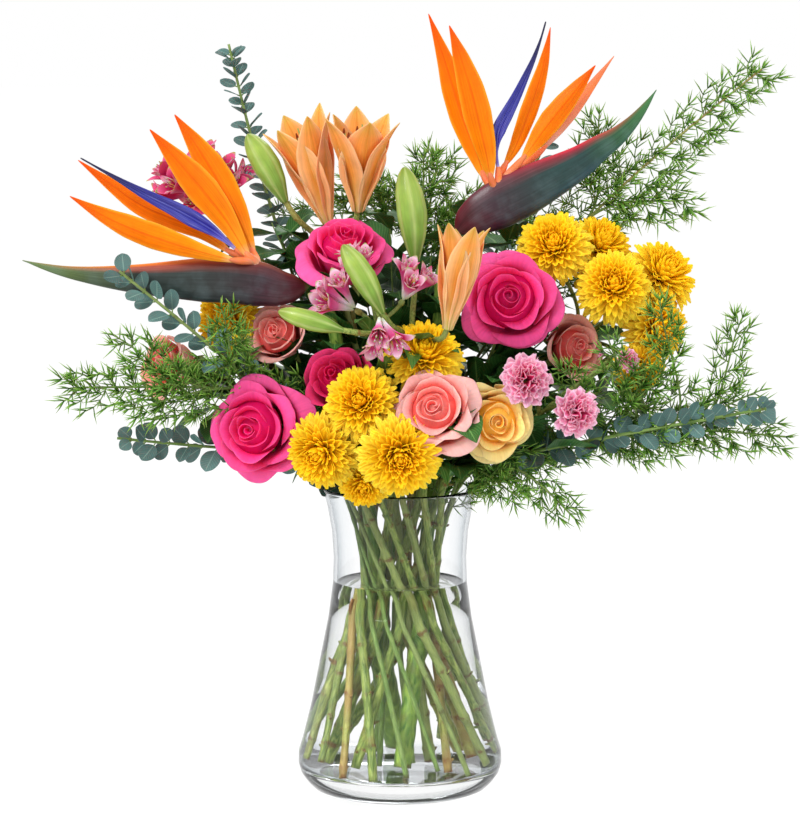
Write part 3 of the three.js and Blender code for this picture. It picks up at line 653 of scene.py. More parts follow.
# sepals: how deeply each is folded; slit: where they leave the sheath; lobe: the arrow's outline
birds = {
    "bird_left": {
        "sepals": {"sepal_top_back": 0.5, "sepal_top_front": 0.42, "sepal_beak_upper": 0.4,
                   "sepal_beak_lower": 0.45},
        "pale": [], "slit": (-104, -43, 399),
        "lobe": [(0, 0.16), (0.12, 0.3), (0.24, 0.72), (0.32, 1.0), (0.4, 0.92), (0.6, 0.62), (0.75, 0.34),
                 (0.88, 0.15), (1, 0.03)],
        "spathe": spatheFinish("spathe_left", "a83c1c", "f08428", "28322f", "1e2a30", "5f7434"),
    },
    "bird_right": {
        "sepals": {"sepal_back": 0.45, "sepal_front": 0.42, "sepal_middle": 0.4, "sepal_beak": 0.5,
                   "sepal_pale": 0.3},
        "pale": ["sepal_pale"], "slit": (72, -9, 448),
        "lobe": [(0, 0.2), (0.16, 0.22), (0.24, 0.5), (0.32, 1.0), (0.42, 0.95), (0.6, 0.62), (0.75, 0.36),
                 (0.88, 0.15), (1, 0.03)],
        "spathe": spatheFinish("spathe_right", "8a1a2c", "c8243a", "1f3a38", "274a5c", "3a7038"),
    },
}
awayFromMiddle = Vector((0, -1, 0))


def addBlade(making, points, halfWidths, fold, face, wide=8, ripple=0.0, tone=0.5, twist=0.0):
    # a long petal or leaf, folded along its middle; fold is how far its edges stand up, over its width
    grid = []
    for j, (p, t) in enumerate(zip(points, headings(points))):
        v = j / (len(points) - 1)
        side = face.cross(t).normalized()
        out = t.cross(side).normalized()
        turn = Matrix.Rotation(twist * v, 3, t)
        side, out = turn @ side, turn @ out
        w = readOff(halfWidths, v)
        row = []
        for i in range(wide + 1):
            x = i / wide * 2 - 1
            lift = fold * w * (abs(x) ** 1.3) + ripple * w * abs(x) * math.sin(v * 19 + x * 2 + tone * 9)
            row.append(p + side * (x * w) + out * lift)
        grid.append(row)
    making.sheet(grid, tone)


def sepalWidths(half):
    shape = [(0, 0.13), (0.1, 0.42), (0.28, 0.8), (0.45, 1), (0.62, 0.9), (0.8, 0.55), (0.93, 0.2), (1, 0.02)]
    return [(u, share * half) for u, share in shape]


def makeSpathe(bird, look):
    points, widths = spineOf(bird + "_spathe", 56)
    making, rings, turns = Making(), [], 40
    for j, (p, t) in enumerate(zip(points, headings(points))):
        v = j / (len(points) - 1)
        k = v * (len(widths) - 1)
        a, b = widths[int(k)], widths[min(int(k) + 1, len(widths) - 1)]
        w = max(0.4 * mm, lerp(a, b, k - int(k)))
        up = awayFromMiddle.cross(t).normalized()
        up = up if up.z > 0 else -up
        out = t.cross(up)
        ring = []
        for i in range(turns):
            angle = i / turns * math.tau
            rise = (1 - math.cos(angle)) / 2  # 0 at the keel, 1 at the upper edge
            slit = math.exp(-((angle - math.pi) / 0.16) ** 2) * 0.22
            slit = slit * clamp((v - 0.1) * 8) * clamp((1 - v) * 6)
            flank = 1 if math.sin(angle) > 0 else -1
            thick = w * 0.58 * (1 - 0.42 * rise) * abs(math.sin(angle)) ** 0.8 * flank
            tall = w * (0.92 if rise > 0.5 else 1.0) * (-math.cos(angle)) - w * slit
            ring.append(p + up * tall + out * thick)
        rings.append(ring)
    making.tube(rings)
    making.finish(bird + "_spathe_sheath", look["spathe"], "spathe", [bird + "_spathe"])


def makeBluePetals(bird):
    node = bird + "_blue_petals"
    points, widths = spineOf(node, 40)
    half = max(widths)
    making, lobe = Making(), birds[bird]["lobe"]
    for sign in (1, -1):
        grid = []
        for j, (p, t) in enumerate(zip(points, headings(points))):
            v = j / (len(points) - 1)
            side = awayFromMiddle.cross(t).normalized()
            out = t.cross(side).normalized()
            w = readOff(lobe, v) * half
            grid.append([p + side * sign * w * (i / 6) + out * (w * 0.55 * math.sin(i / 6 * 2.2) - w * 0.2)
                         for i in range(7)])
        making.sheet(grid, 0.5, 0.5)
    making.rod(points, lambda u: 0.0011 * lerp(1.0, 0.35, u), 8, 0.5, 0.5)
    making.finish(bird + "_blue_arrow", bluePetal, "petal_blue", [node], thick=0.7)


def addBract(making, start, end, way, rng):
    # the pale foot of a floret, from the slit of the sheath up to where its sepal opens
    gap = (end - start).length
    line = bezier(start, start + Vector((0, 0, 1)) * gap * 0.4, end - way * gap * 0.4,
                  end + way * 6 * mm, 12)
    making.rod(line, lambda u: readOff([(0, 0.0025), (0.5, 0.0031), (0.85, 0.0026), (1, 0.0012)], u), 14,
               rng.random(), 0.5)


def makeBird(bird, look, seed):
    rng = random.Random(seed)
    making = makeStalk(bird + "_stem", "bird", seed)
    making.finish(bird + "_stalk", birdStalk, "stem", [bird + "_stem"], rounding=0)
    makeSpathe(bird, look)
    makeBluePetals(bird)
    slit, bracts, feet = Vector(look["slit"]) * mm, Making(), []
    for name, fold in look["sepals"].items():
        node = bird + "_" + name
        points, widths = spineOf(node, 34)
        half = max(widths) * 1.04
        making = Making()
        face = Vector((0.15 * rng.uniform(-1, 1), -1, 0.15 * rng.uniform(-1, 1)))
        addBlade(making, points, sepalWidths(half), -fold, face, wide=10, ripple=0.04, tone=rng.random(),
                 twist=rng.uniform(-0.25, 0.25))
        finish = paleSepal if name in look["pale"] else orangeSepal
        making.finish(bird + "_" + name + "_petal", finish, "sepal_orange", [node], thick=0.9)
        feet.append((points[0], (points[3] - points[0]).normalized()))
    arrow = spineOf(bird + "_blue_petals", 20)[0]
    feet.append((arrow[0], (arrow[2] - arrow[0]).normalized()))
    for foot, way in feet:
        start = slit + (foot - slit) * 0.12 + Vector((0, rng.uniform(-1, 1), 0)) * mm
        addBract(bracts, start, foot, way, rng)
    bracts.finish(bird + "_floret_feet", paleSepal, "sepal_orange", [bird + "_" + list(look["sepals"])[0]])


for number, (bird, look) in enumerate(birds.items()):
    makeBird(bird, look, seeds["birds"] + number)
print("birds of paradise made")

# Roses
# rounds, heart to rim: petals, how far out their rims stand, how high, half their spread in radians,
# and how far they roll back; all as shares of the bloom. colors: heart, body, rim and foot of a petal
# the foot colour is painted shade, deep in the bloom at the base of each petal
openRose = [(3, 0.22, 0.975, 1.5, 0.04), (3, 0.37, 0.965, 1.3, 0.1), (4, 0.55, 0.93, 1.1, 0.17),
            (5, 0.74, 0.84, 0.98, 0.25), (5, 0.88, 0.68, 0.92, 0.32)]
cupRose = [(3, 0.22, 0.975, 1.5, 0.04), (3, 0.38, 0.965, 1.3, 0.08), (4, 0.6, 0.95, 1.1, 0.14),
           (5, 0.82, 0.87, 1.0, 0.22)]
roses = {
    "pink": {"colors": ("ee1468", "fc2a80", "ff5c9c", "c40850"), "rounds": openRose,
             "names": ["rose_pink_right", "rose_pink_upper", "rose_pink_left"]},
    "red": {"colors": ("cc0a46", "e6185a", "f03c74", "9c0436"), "rounds": cupRose, "names": ["rose_red"]},
    "salmon": {"colors": ("fc7c74", "ff9c94", "ffbab4", "f05650"), "rounds": openRose,
               "names": ["rose_salmon"]},
    "peach": {"colors": ("ffb444", "ffc868", "ffdc96", "f89c2c"), "rounds": openRose,
              "names": ["rose_peach"]},
    "coral": {"colors": ("f47470", "fc988e", "ffb4aa", "e04c48"), "rounds": cupRose,
              "names": ["rose_coral_left", "rose_coral_middle", "rose_coral_right"]},
}


def addHeart(making, matrix, radius, depth, rng):
    # the wound heart: one long sheet turning outward, its rim rolled a little
    turns, count, start = rng.uniform(1.2, 1.6), 72, rng.uniform(0, 6)
    phase, grid = rng.uniform(0, 6), []
    for v in (0, 0.35, 0.65, 0.82, 0.92, 0.98, 1):
        row = []
        for i in range(count + 1):
            u = i / count
            a = start + u * turns * math.tau
            r = radius * (0.02 + 0.16 * u ** 0.9) * (1 + 0.22 * math.sin(a * 1.5 + phase))
            r += radius * (0.055 * (1 - u) * (v - 1) + 0.03 * clamp((v - 0.8) * 5) ** 2)
            high = 0.955 - 0.02 * u + 0.016 * math.sin(a * 2 + phase)
            z = depth * (lerp(0.5, high, v) - 0.012 * clamp((v - 0.85) * 6.6) ** 2)
            row.append(around(r, a, z))
        grid.append(row)
    making.sheet(grid, rng.random(), 0.0, matrix)


def addRosePetal(making, matrix, radius, depth, turn, out, high, spread, roll, place, rng):
    # one broad petal: a cup round the heart, its rim rolled back, one edge tucked under its neighbour
    out, high = out * rng.uniform(0.9, 1.07), high * rng.uniform(0.93, 1.01)
    spread, roll = spread * rng.uniform(0.92, 1.08), roll * rng.uniform(0.7, 1.35)
    wave, sway = rng.uniform(0, 6), rng.uniform(-0.05, 0.05)
    point, notch = rng.uniform(0.0, 0.05), rng.uniform(0, 0.02)
    rows, wide, grid = 13, 16, []
    for j in range(rows + 1):
        row = []
        for i in range(wide + 1):
            x = i / wide * 2 - 1
            rim = 1 - 0.24 * abs(x) ** 3 + point * math.exp(-(x / 0.16) ** 2)
            v = j / rows * (rim - notch * math.cos(x * 11 + wave))
            lip = clamp((v - 0.74) / 0.26)
            side = clamp((abs(x) - 0.55) / 0.45) * clamp(v * 1.3)
            bowl = math.sin(min(1.0, v * 1.02) * math.pi / 2) ** lerp(0.75, 0.6, place)
            r = radius * lerp(0.07, out, bowl) * (1 + 0.075 * x * clamp(v * 2))
            r += radius * roll * (lip ** 2 * (1 - 0.35 * abs(x)) + 0.22 * side ** 2)
            r += radius * 0.03 * math.sin(x * 4 + wave) * lip
            z = depth * lerp(0.08, high, v ** lerp(1.0, 1.35, place))
            z -= depth * roll * (0.62 * lip ** 2.6 + 0.1 * side ** 2)
            z += depth * 0.022 * math.sin(x * 4 + wave * 2) * lip
            a = turn + x * spread * math.sin(math.pi * (0.16 + 0.42 * v)) ** 0.8 + sway * v
            row.append(around(r, a, z))
        grid.append(row)
    making.sheet(grid, rng.random(), place, matrix)


def addCore(making, matrix, radius, depth):
    # the inner petals as one closed core, closing every gap between the ones that show
    rings = [[around(r * radius, a, depth * (0.82 - 0.5 * r * r)) for a in turnsOf(24)]
             for r in (0.01, 0.1, 0.2, 0.32, 0.45, 0.58, 0.68)]
    making.tube(list(reversed(rings)), 0.6, 0.15, matrix)


def addRose(making, matrix, radius, depth, rounds, rng):
    addCore(making, matrix, radius, depth)
    addHeart(making, matrix, radius, depth, rng)
    start = rng.uniform(0, 6)
    for n, (count, out, high, spread, roll) in enumerate(rounds):
        start += 1.1
        for k in range(count):
            turn = start + k * math.tau / count + rng.uniform(-0.3, 0.3)
            place = (n + 0.6) / len(rounds)
            addRosePetal(making, matrix, radius, depth, turn, out + 0.012 * k, high, spread, roll, place, rng)


def addCalyx(making, matrix, radius, depth, rng):
    # the green cup and its five narrow sepals, behind the petals
    cup = [(0.05, -0.02), (0.16, 0.0), (0.2, 0.06), (0.17, 0.12), (0.1, 0.15)]
    making.tube([[around(r * radius, a, z * depth) for a in turnsOf(12)] for r, z in cup], 0.5, 0.1, matrix)
    for n in range(5):
        turn = n * math.tau / 5 + rng.uniform(-0.15, 0.15)
        droop = rng.uniform(0.2, 0.9)
        grid = []
        for j in range(9):
            v = j / 8
            r = radius * (0.12 + 0.62 * v)
            z = depth * (0.06 + 0.12 * math.sin(v * 2.2) - droop * 0.2 * v * v)
            w = radius * 0.13 * math.sin(math.pi * (0.2 + 0.8 * v)) + radius * 0.004
            grid.append([around(r, turn, z + abs(x) * w * 0.3, x * w) for x in (-1, -0.5, 0, 0.5, 1)])
        making.sheet(grid, 0.4, 0.1, matrix)


def bloomOf(node, stemEnd):
    # the back, facing, radius and depth of a round bloom, from the tip that lies away from its stem
    low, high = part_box(node)
    middle = (low + high) / 2
    across = middle - stemEnd
    tips = [tip for tip in headsOf(node, 0.82, 0.8)
            if (tip["front"] - stemEnd).dot(across) > across.length_squared]
    if tips:
        tip = max(tips, key=lambda head: (head["front"] - stemEnd).length)
        return tip["front"] - tip["axis"] * tip["length"], tip["axis"], tip["radius"], tip["length"]
    axis = across.normalized()
    radius = (high - low).length * 0.31
    print(node, "read from its box")
    return middle - axis * radius * 0.85, axis, radius, radius * 1.6


def makeRose(name, rounds, slotName, finish, seed):
    rng = random.Random(seed)
    making = makeStalk(name + "_stem", "rose", seed)
    back, axis, radius, depth = bloomOf(name + "_bloom", linesOf[name + "_stem"][-1])
    matrix = standOn(back, axis, rng.uniform(0, 6))
    addCalyx(making, matrix, radius, depth, rng)
    making.finish(name + "_stalk", stemGreen, "stem", [name + "_stem"], rounding=0)
    bloom = Making()
    addRose(bloom, matrix, radius * 0.95, depth, rounds, rng)
    bloom.finish(name + "_petals", finish, slotName, [name + "_bloom"], thick=0.45)


nextSeed = seeds["roses"]
for kind, look in roses.items():
    finish = petalFinish(kind + "_rose", *look["colors"])
    for name in look["names"]:
        makeRose(name, look["rounds"], "rose_" + kind, finish, nextSeed)
        nextSeed += 1
print("roses made")


# Chrysanthemums, carnations and alstroemeria
# share and reach are a head's outer shape: where its last ring is, and its depth over its width;
# back: where its twig ends; cup: what holds the petals from behind
headKinds = {
    "mum": {"share": 0.66, "reach": 0.6, "back": 0.9, "slot": "chrysanthemum",
            "cup": [(0.08, -0.02), (0.2, 0.08), (0.3, 0.2), (0.24, 0.3)]},
    "carnation": {"share": 0.85, "reach": 0.95, "back": 0.98, "slot": "carnation",
                  "cup": [(0.1, 0.0), (0.24, 0.06), (0.27, 0.25), (0.25, 0.42), (0.3, 0.47)]},
    "floret": {"share": 0.9, "reach": 1.5, "back": 0.98, "slot": "alstroemeria",
               "cup": [(0.1, -0.02), (0.16, 0.04), (0.14, 0.1), (0.1, 0.12)]},
}
sprays = {
    "chrysanthemum_front_spray": {"kind": "mum", "finish": "mum", "fork": (-12, -50, 272)},
    "chrysanthemum_right_spray": {"kind": "mum", "finish": "mum", "fork": (128, 8, 335)},
    "chrysanthemum_left_spray": {"kind": "mum", "finish": "mum", "fork": (-112, 18, 335)},
    "carnation_spray": {"kind": "carnation", "finish": "carnation", "fork": (102, -50, 290)},
    "alstroemeria_left_spray": {"kind": "floret", "finish": "deepFloret", "fork": (-128, 34, 424)},
    "alstroemeria_front_spray": {"kind": "floret", "finish": "floret", "fork": (-16, -74, 352)},
}


def mumFinish():
    f = Finish("golden_petal", 0.5, glow=0.15, shine=0.1)
    color = f.ramp(f.place, [(0.0, "f6ac0c"), (0.22, "ffc010"), (0.6, "ffd01c"), (1.0, "ffdc44")])
    color = f.mix(f.ramp(f.along, [(0.0, 0.55), (0.35, 0.0)]), color, "e6a206")
    edge = f.fromRib()
    color = f.mix(f.ramp(edge, [(0.0, 0.2), (0.3, 0.0)]), color, "f4b808")
    return f.done(f.shade(color, 0.96, 1.1), f.streaks(6, 2), 0.3, 0.25)


def carnationFinish():
    f = Finish("ruffled_pink", 0.6, glow=0.2, shine=0.06)
    color = f.ramp(f.place, [(0.0, "fa4c90"), (0.4, "ff82b0"), (1.0, "ffa4c6")])
    color = f.mix(f.ramp(f.along, [(0.86, 0.0), (1.0, 0.55)]), color, "ffe2ee")
    streak = f.streaks(14, 2)
    color = f.streaked(color, streak, 0.35, 0.86, 1.04)
    return f.done(f.shade(color), streak, 0.3, 0.3)


def floretFinish(name, pale, body, deep, rim):
    # pale throat with dark dashes, deep pink tips
    f = Finish(name, 0.45, glow=0.3, shine=0.12)
    color = f.ramp(f.along, [(0.0, "d8dfa8"), (0.2, pale), (0.45, body), (0.72, deep), (0.92, rim),
                             (1.0, "9aa860")])
    throat = f.ramp(f.along, [(0.1, "f4b9c8"), (0.45, "fbe6c0"), (0.62, "f6cf4a"), (0.8, "f3c2d3"),
                              (1.0, "cf3f7d")])
    dashes = f.math("MULTIPLY", f.ramp(f.streaks(16, 9, 0.2), [(0.56, 0.0), (0.6, 1.0)]),
                    f.ramp(f.along, [(0.35, 0.0), (0.45, 1.0)]))
    dashes = f.math("MULTIPLY", dashes, f.ramp(f.along, [(0.8, 1.0), (0.92, 0.0)]))
    throat = f.mix(dashes, throat, "5c1230")
    color = f.mix(f.ramp(f.place, [(0.45, 0.0), (0.55, 1.0)]), color, throat)
    return f.done(f.shade(color), f.streaks(18, 3), 0.3, 0.3)


finishOf = {
    "mum": mumFinish(), "carnation": carnationFinish(),
    "floret": floretFinish("streaked_pink", "f6dce2", "ea6ea2", "d63c82", "f8c4d8"),
    "deepFloret": floretFinish("deep_pink_floret", "e89ab8", "d23474", "b81c5c", "e0588c"),
}


def addMum(making, head, rng):
    # head["axis"] is the way it faces; petals lie in a spiral from its heart to its rim
    radius = head["radius"] * 1.17
    centre = head["front"] - head["axis"] * head["length"] * 0.62
    matrix = standOn(centre, head["axis"], rng.uniform(0, 6))
    petals = int(lerp(130, 230, clamp((radius / mm - 18) / 10)))
    for n in range(petals):
        t = ((n + 0.5) / petals) ** 0.62
        turn = n * goldenAngle + rng.uniform(-0.1, 0.1)
        tilt = lerp(0.08, 1.75, t ** 1.1) + rng.uniform(-0.1, 0.1)
        length = radius * lerp(0.42, 0.84, t ** 0.6) * rng.uniform(0.9, 1.06)
        curl = lerp(-1.35, 0.55, t ** 1.3) + rng.uniform(-0.2, 0.2)
        half = radius * lerp(0.045, 0.095, min(1, t * 1.6)) * rng.uniform(0.85, 1.1)
        r, z = radius * 0.16 * t, radius * (0.1 - 0.14 * t)
        a, grid, rows = tilt, [], 6
        for j in range(rows + 1):
            v = j / rows
            w = half * readOff([(0, 0.42), (0.3, 0.8), (0.7, 1.0), (0.9, 0.75), (1, 0.3)], v)
            side, lift, p = around(0, turn, 0, 1), around(-math.cos(a), turn, math.sin(a)), around(r, turn, z)
            grid.append([p + side * (x * w) + lift * (abs(x) * w * 0.75) for x in (-1, -0.5, 0, 0.5, 1)])
            r += math.sin(a) * length / rows
            z += math.cos(a) * length / rows
            a += curl / rows
        making.sheet(grid, rng.random(), t, matrix)


def addCarnation(making, head, rng):
    radius, length = head["radius"], head["length"]
    matrix = standOn(head["front"] - head["axis"] * length, head["axis"], rng.uniform(0, 6))
    bud = radius < 7 * mm
    petals = 8 if bud else 34 if radius > 14 * mm else 18
    for n in range(petals):
        t = n / (petals - 1)
        turn = n * goldenAngle + rng.uniform(-0.3, 0.3)
        spread = 0.15 if bud else t ** 0.8
        out, high = radius * lerp(0.12, 0.92, spread), length * lerp(1.0, 0.68, spread ** 1.5)
        span, phase, rows, wide = radius * lerp(0.42, 0.7, t), rng.uniform(0, 6), 7, 18
        grid = []
        for j in range(rows + 1):
            row = []
            for i in range(wide + 1):
                x = i / wide * 2 - 1
                tooth = 0.05 * (i % 2) * (j == rows)
                v = j / rows * (1 - 0.14 * x * x) - tooth
                frill = clamp((v - 0.45) / 0.55)
                r = lerp(radius * 0.08, out, clamp((v - 0.3) / 0.7) ** 1.1)
                r += radius * 0.11 * frill * math.sin(x * 9 + phase)
                r += radius * 0.05 * frill * math.sin(x * 17 + phase * 2)
                z = length * 0.34 + (high - length * 0.34) * v ** lerp(1.0, 0.75, t)
                z += radius * 0.1 * frill * math.cos(x * 8 + phase * 3) - radius * 0.16 * frill ** 2 * spread
                y = x * span * lerp(0.16, 1.0, clamp(v * 1.15) ** 1.2)
                row.append(around(r, turn, z, y))
            grid.append(row)
        making.sheet(grid, rng.random(), spread, matrix)


def addFloret(making, head, rng):
    # three trumpets from one point, each of three broad petals and three narrow streaked ones inside
    back = head["front"] - head["axis"] * head["length"] * 0.9
    upright = standOn(back, head["axis"], rng.uniform(0, 6))
    for k in range(3):
        spin = Matrix.Rotation(k * math.tau / 3 + rng.uniform(-0.3, 0.3), 4, "Z")
        lean = Matrix.Rotation(rng.uniform(0.3, 0.42), 4, "X")
        radius, length = head["radius"] * rng.uniform(0.8, 0.95), head["length"] * rng.uniform(0.8, 0.95)
        addTrumpet(making, upright @ (spin @ lean), radius, length, rng)


def addTrumpet(making, matrix, radius, length, rng):
    spin, openness = rng.uniform(0, 1), rng.uniform(0.75, 1.15)
    for n in range(6):
        inner = n % 2
        turn = spin + n * math.tau / 6 + rng.uniform(-0.1, 0.1)
        flare = rng.uniform(0.85, 1.1) * (0.8 if inner else 1.0) * openness
        half = radius * (0.24 if inner else 0.46)
        grid = []
        for j in range(12):
            v = j / 11
            r = radius * (0.08 + flare * (0.2 * v + 0.7 * v ** 3))
            z = length * (0.08 + v * 0.9 - 0.1 * v ** 5 * flare)
            w = half * readOff([(0, 0.16), (0.35, 0.4), (0.7, 1.0), (0.88, 0.85), (0.96, 0.45), (1, 0.1)], v)
            row = []
            for i in range(7):
                x = i / 3 - 1
                cup = r - abs(x) ** 2 * w * 0.4
                row.append(around(cup, turn, z, x * w))
            grid.append(row)
        making.sheet(grid, rng.random(), 0.9 if inner else 0.1, matrix)
    for n in range(4):
        # stamens, a little past the throat
        a = spin + n * 1.6
        tip = around(radius * 0.25, a, length * 0.9)
        line = bezier(Vector((0, 0, length * 0.1)), Vector((0, 0, length * 0.5)), tip * 0.9, tip, 6)
        making.rod([matrix @ p for p in line], lambda u: (0.45 if u < 0.85 else 0.9) * mm, 5, 0.6, 0.1)


def stemToFork(making, node, kind, fork, rng):
    # the main stem up to where it forks; gives the way it leaves the fork
    line = followStem(node, stalks[kind]["radius"] * mm, until=fork)
    if (line[-1] - fork).length > 12 * mm:
        line = [p for p in line if (p - fork).length > 15 * mm][:200] + [fork]
    linesOf[node] = addStalk(making, line, kind, rng, endShare=0.8)
    return (line[-1] - line[-4]).normalized()


def makeSpray(node, look, seed):
    rng, kind, shape = random.Random(seed), look["kind"], headKinds[look["kind"]]
    fork = Vector(look["fork"]) * mm
    making, flowers = Making(), Making()
    leave = stemToFork(making, node, "spray", fork, rng)
    heads = headsOf(node, shape["share"], shape["reach"])
    print(node, "has", len(heads), "flowers")
    for head in heads:
        back = head["front"] - head["axis"] * head["length"] * shape["back"]
        gap = (back - fork).length
        twig = bezier(fork, fork + leave * gap * 0.35, back - head["axis"] * gap * 0.35, back, 14)
        addStalk(making, twig, "twig", rng, radius=1.5, endShare=0.95)
        {"mum": addMum, "carnation": addCarnation, "floret": addFloret}[kind](flowers, head, rng)
        addHeadCup(making, head, shape["cup"], rng)
    making.finish(node.replace("_spray", "_stems"), stemGreen, shape["slot"], [node], rounding=0)
    flowers.finish(node.replace("_spray", "_flowers"), finishOf[look["finish"]], shape["slot"], [node],
                   thick=0.4, rounding=0 if kind == "mum" else 1)


def addHeadCup(making, head, outline, rng):
    # a shallow green cup, or a carnation's long tube
    matrix = standOn(head["front"] - head["axis"] * head["length"], head["axis"])
    r, length = head["radius"], head["length"]
    rings = [[around(q * r, a, z * length) for a in turnsOf(12)] for q, z in outline]
    making.tube(rings, rng.random(), 0.1, matrix)


for number, (node, look) in enumerate(sprays.items()):
    makeSpray(node, look, seeds["sprays"] + number)
print("sprays made")

# Lilies
def lilyFinish():
    f = Finish("peach_lily", 0.45, glow=0.3, shine=0.12)
    rib = f.fromRib()
    color = f.ramp(f.along, [(0.0, "b2b458"), (0.13, "e0aa56"), (0.45, "f1963e"), (0.82, "f3a04c"),
                             (1.0, "c0a446")])
    color = f.mix(f.ramp(rib, [(0.2, 0.0), (0.5, 0.7)]), color, "fcc294")
    color = f.mix(f.ramp(rib, [(0.0, 0.6), (0.07, 0.0)]), color, "cf8226")
    streak = f.streaks(24, 2.5)
    color = f.streaked(color, streak, 0.35, 0.88, 1.05)
    return f.done(f.shade(color), f.mix(0.6, streak, rib), 0.35, 0.4)


def budFinish():
    f = Finish("lily_bud_skin", 0.4, coat=0.05, glow=0.1, shine=0.25)
    # place is 1 in the grooves between the ribs
    color = f.ramp(f.along, [(0.0, "5f8230"), (0.35, "7da23e"), (0.8, "98b24a"), (1.0, "7f9438")])
    color = f.mix(f.math("MULTIPLY", f.place, 0.5), color, "c9d488")
    streak = f.streaks(30, 3)
    color = f.streaked(color, streak, 0.3, 0.84, 1.06)
    return f.done(f.shade(color, 0.9, 1.08), streak, 0.3, 0.3)


def plainFinish(name, color, roughness=0.6):
    f = Finish(name, roughness)
    return f.done(f.shade(f.mix(f.cloud(300, 3), color, color), 0.85, 1.15), f.cloud(1500, 3), 0.4, 0.2)


lilySkin, budSkin, antherDust = lilyFinish(), budFinish(), plainFinish("anther_dust", "7a3413", 0.9)
# line: from the foot of the flower to its tip; flare: how far its petals open; half: their half width
lilies = {
    "lily_back_stem": {
        "fork": (-44, 4, 392),
        "blooms": {
            "lily_left_bloom": {"line": [(-53, -8, 428), (-65, -12, 468), (-79, -16, 509)],
                                "flare": 29, "half": 16, "stamens": True},
            "lily_centre_bloom": {"line": [(-31, -30, 438), (-29, -37, 474), (-27, -44, 510)],
                                  "flare": 31, "half": 17, "stamens": True},
        },
        "buds": {"lily_bud_left": {"line": [(-84, -24, 444), (-97, -26, 470), (-112, -28, 495)],
                                   "half": 10.5}},
    },
    "lily_front_stem": {
        "fork": (8, -58, 338),
        "blooms": {"lily_front_bloom": {"line": [(34, -100, 357), (41, -105, 396), (47, -104, 434)],
                                        "flare": 20, "half": 13.5, "stamens": False}},
        "buds": {
            "lily_bud_tall": {"line": [(11, -62, 402), (9, -60, 436), (3, -57, 472)], "half": 11.5},
            "lily_bud_front": {"line": [(-12, -101, 368), (-25, -102, 393), (-41, -100, 418)],
                               "half": 9.5},
            "lily_bud_low": {"line": [(-40, -108, 357), (-62, -110, 364), (-87, -108, 371)],
                             "half": 7.5},
        },
    },
}


def addLilyBloom(making, anthers, points, flare, broad, stamens, rng):
    # six petals on one trumpet that follows the line; the inner three are broader
    frames, spin = framesAlong(points), rng.uniform(0, 1)
    onward = frames[-1][1]
    for n in range(6):
        inner = n % 2
        turn = n * math.tau / 6 + spin + rng.uniform(-0.08, 0.08)
        openness = flare * mm * rng.uniform(0.78, 1.06) * (0.86 if inner else 1.0)
        reach, tip = rng.uniform(0.92, 1.0), rng.uniform(0.0, 0.18)
        half = broad * mm * (1.08 if inner else 0.92)
        grid = []
        for j in range(22):
            v = j / 21
            k = v * reach * (len(frames) - 1)
            p, _, sx, sy = frames[min(int(k), len(frames) - 2)]
            p = lerp(p, frames[min(int(k) + 1, len(frames) - 1)][0], k - int(k))
            r = 3 * mm + openness * (0.5 * v + 0.42 * v ** 2 + tip * v ** 9) - (0.9 * mm if inner else 0)
            w = half * readOff([(0, 0.24), (0.14, 0.44), (0.36, 0.84), (0.55, 1.0), (0.72, 0.9), (0.86, 0.6),
                                (0.95, 0.26), (1, 0.02)], v)
            out = sx * math.cos(turn) + sy * math.sin(turn)
            across = sy * math.cos(turn) - sx * math.sin(turn)
            row = []
            for i in range(11):
                x = i / 5 - 1
                cup = -0.38 * w * abs(x) ** 1.8 * (1 - 0.5 * v) + 0.07 * w * math.exp(-(x / 0.14) ** 2)
                cup += 0.05 * w * abs(x) * math.sin(v * 15 + n * 2 + x)
                row.append(p + out * (r + cup) + across * x * w)
            grid.append(row)
        making.sheet(grid, rng.random(), 0.5)
    if stamens:
        for n in range(7):
            turn = n * math.tau / 6
            p, _, sx, sy = frames[int(len(frames) * 0.78)]
            out = (sx * math.cos(turn) + sy * math.sin(turn)) * (0 if n == 6 else flare * 0.42 * mm)
            tip = p + out + onward * (8 * mm if n == 6 else 0)
            start = points[2]
            bend = lerp(start, tip, 0.7) + out * 0.1
            anthers["threads"].append(bezier(start, lerp(start, tip, 0.4), bend, tip, 8))
            if n < 6:
                anthers["tips"].append((tip, out.normalized(), onward))


def addBud(making, points, half, rng):
    rings, first, spin = [], len(making.corners), rng.uniform(0, 2)
    for i, (p, _, side, other) in enumerate(framesAlong(points)):
        v = i / (len(points) - 1)
        w = half * readOff([(0, 0.24), (0.1, 0.42), (0.3, 0.8), (0.52, 1.0), (0.75, 0.9), (0.9, 0.6),
                            (0.97, 0.32), (1, 0.1)], v)
        ring = []
        for a in turnsOf(36):
            groove = abs(math.cos(3 * (a + spin))) ** 9 * 0.14 * math.sin(math.pi * clamp(v * 0.9 + 0.1))
            rib = 0.035 * math.cos(6 * (a + spin))
            ring.append(p + (side * math.cos(a) + other * math.sin(a)) * w * (1 - groove + rib))
        rings.append(ring)
    making.tube(rings, rng.random(), 0.0)
    for n in range(first, len(making.corners)):
        across, along, own, _ = making.tints[n]
        making.tints[n] = (across, along, own, abs(math.cos(3 * (across * math.tau + spin))) ** 9)


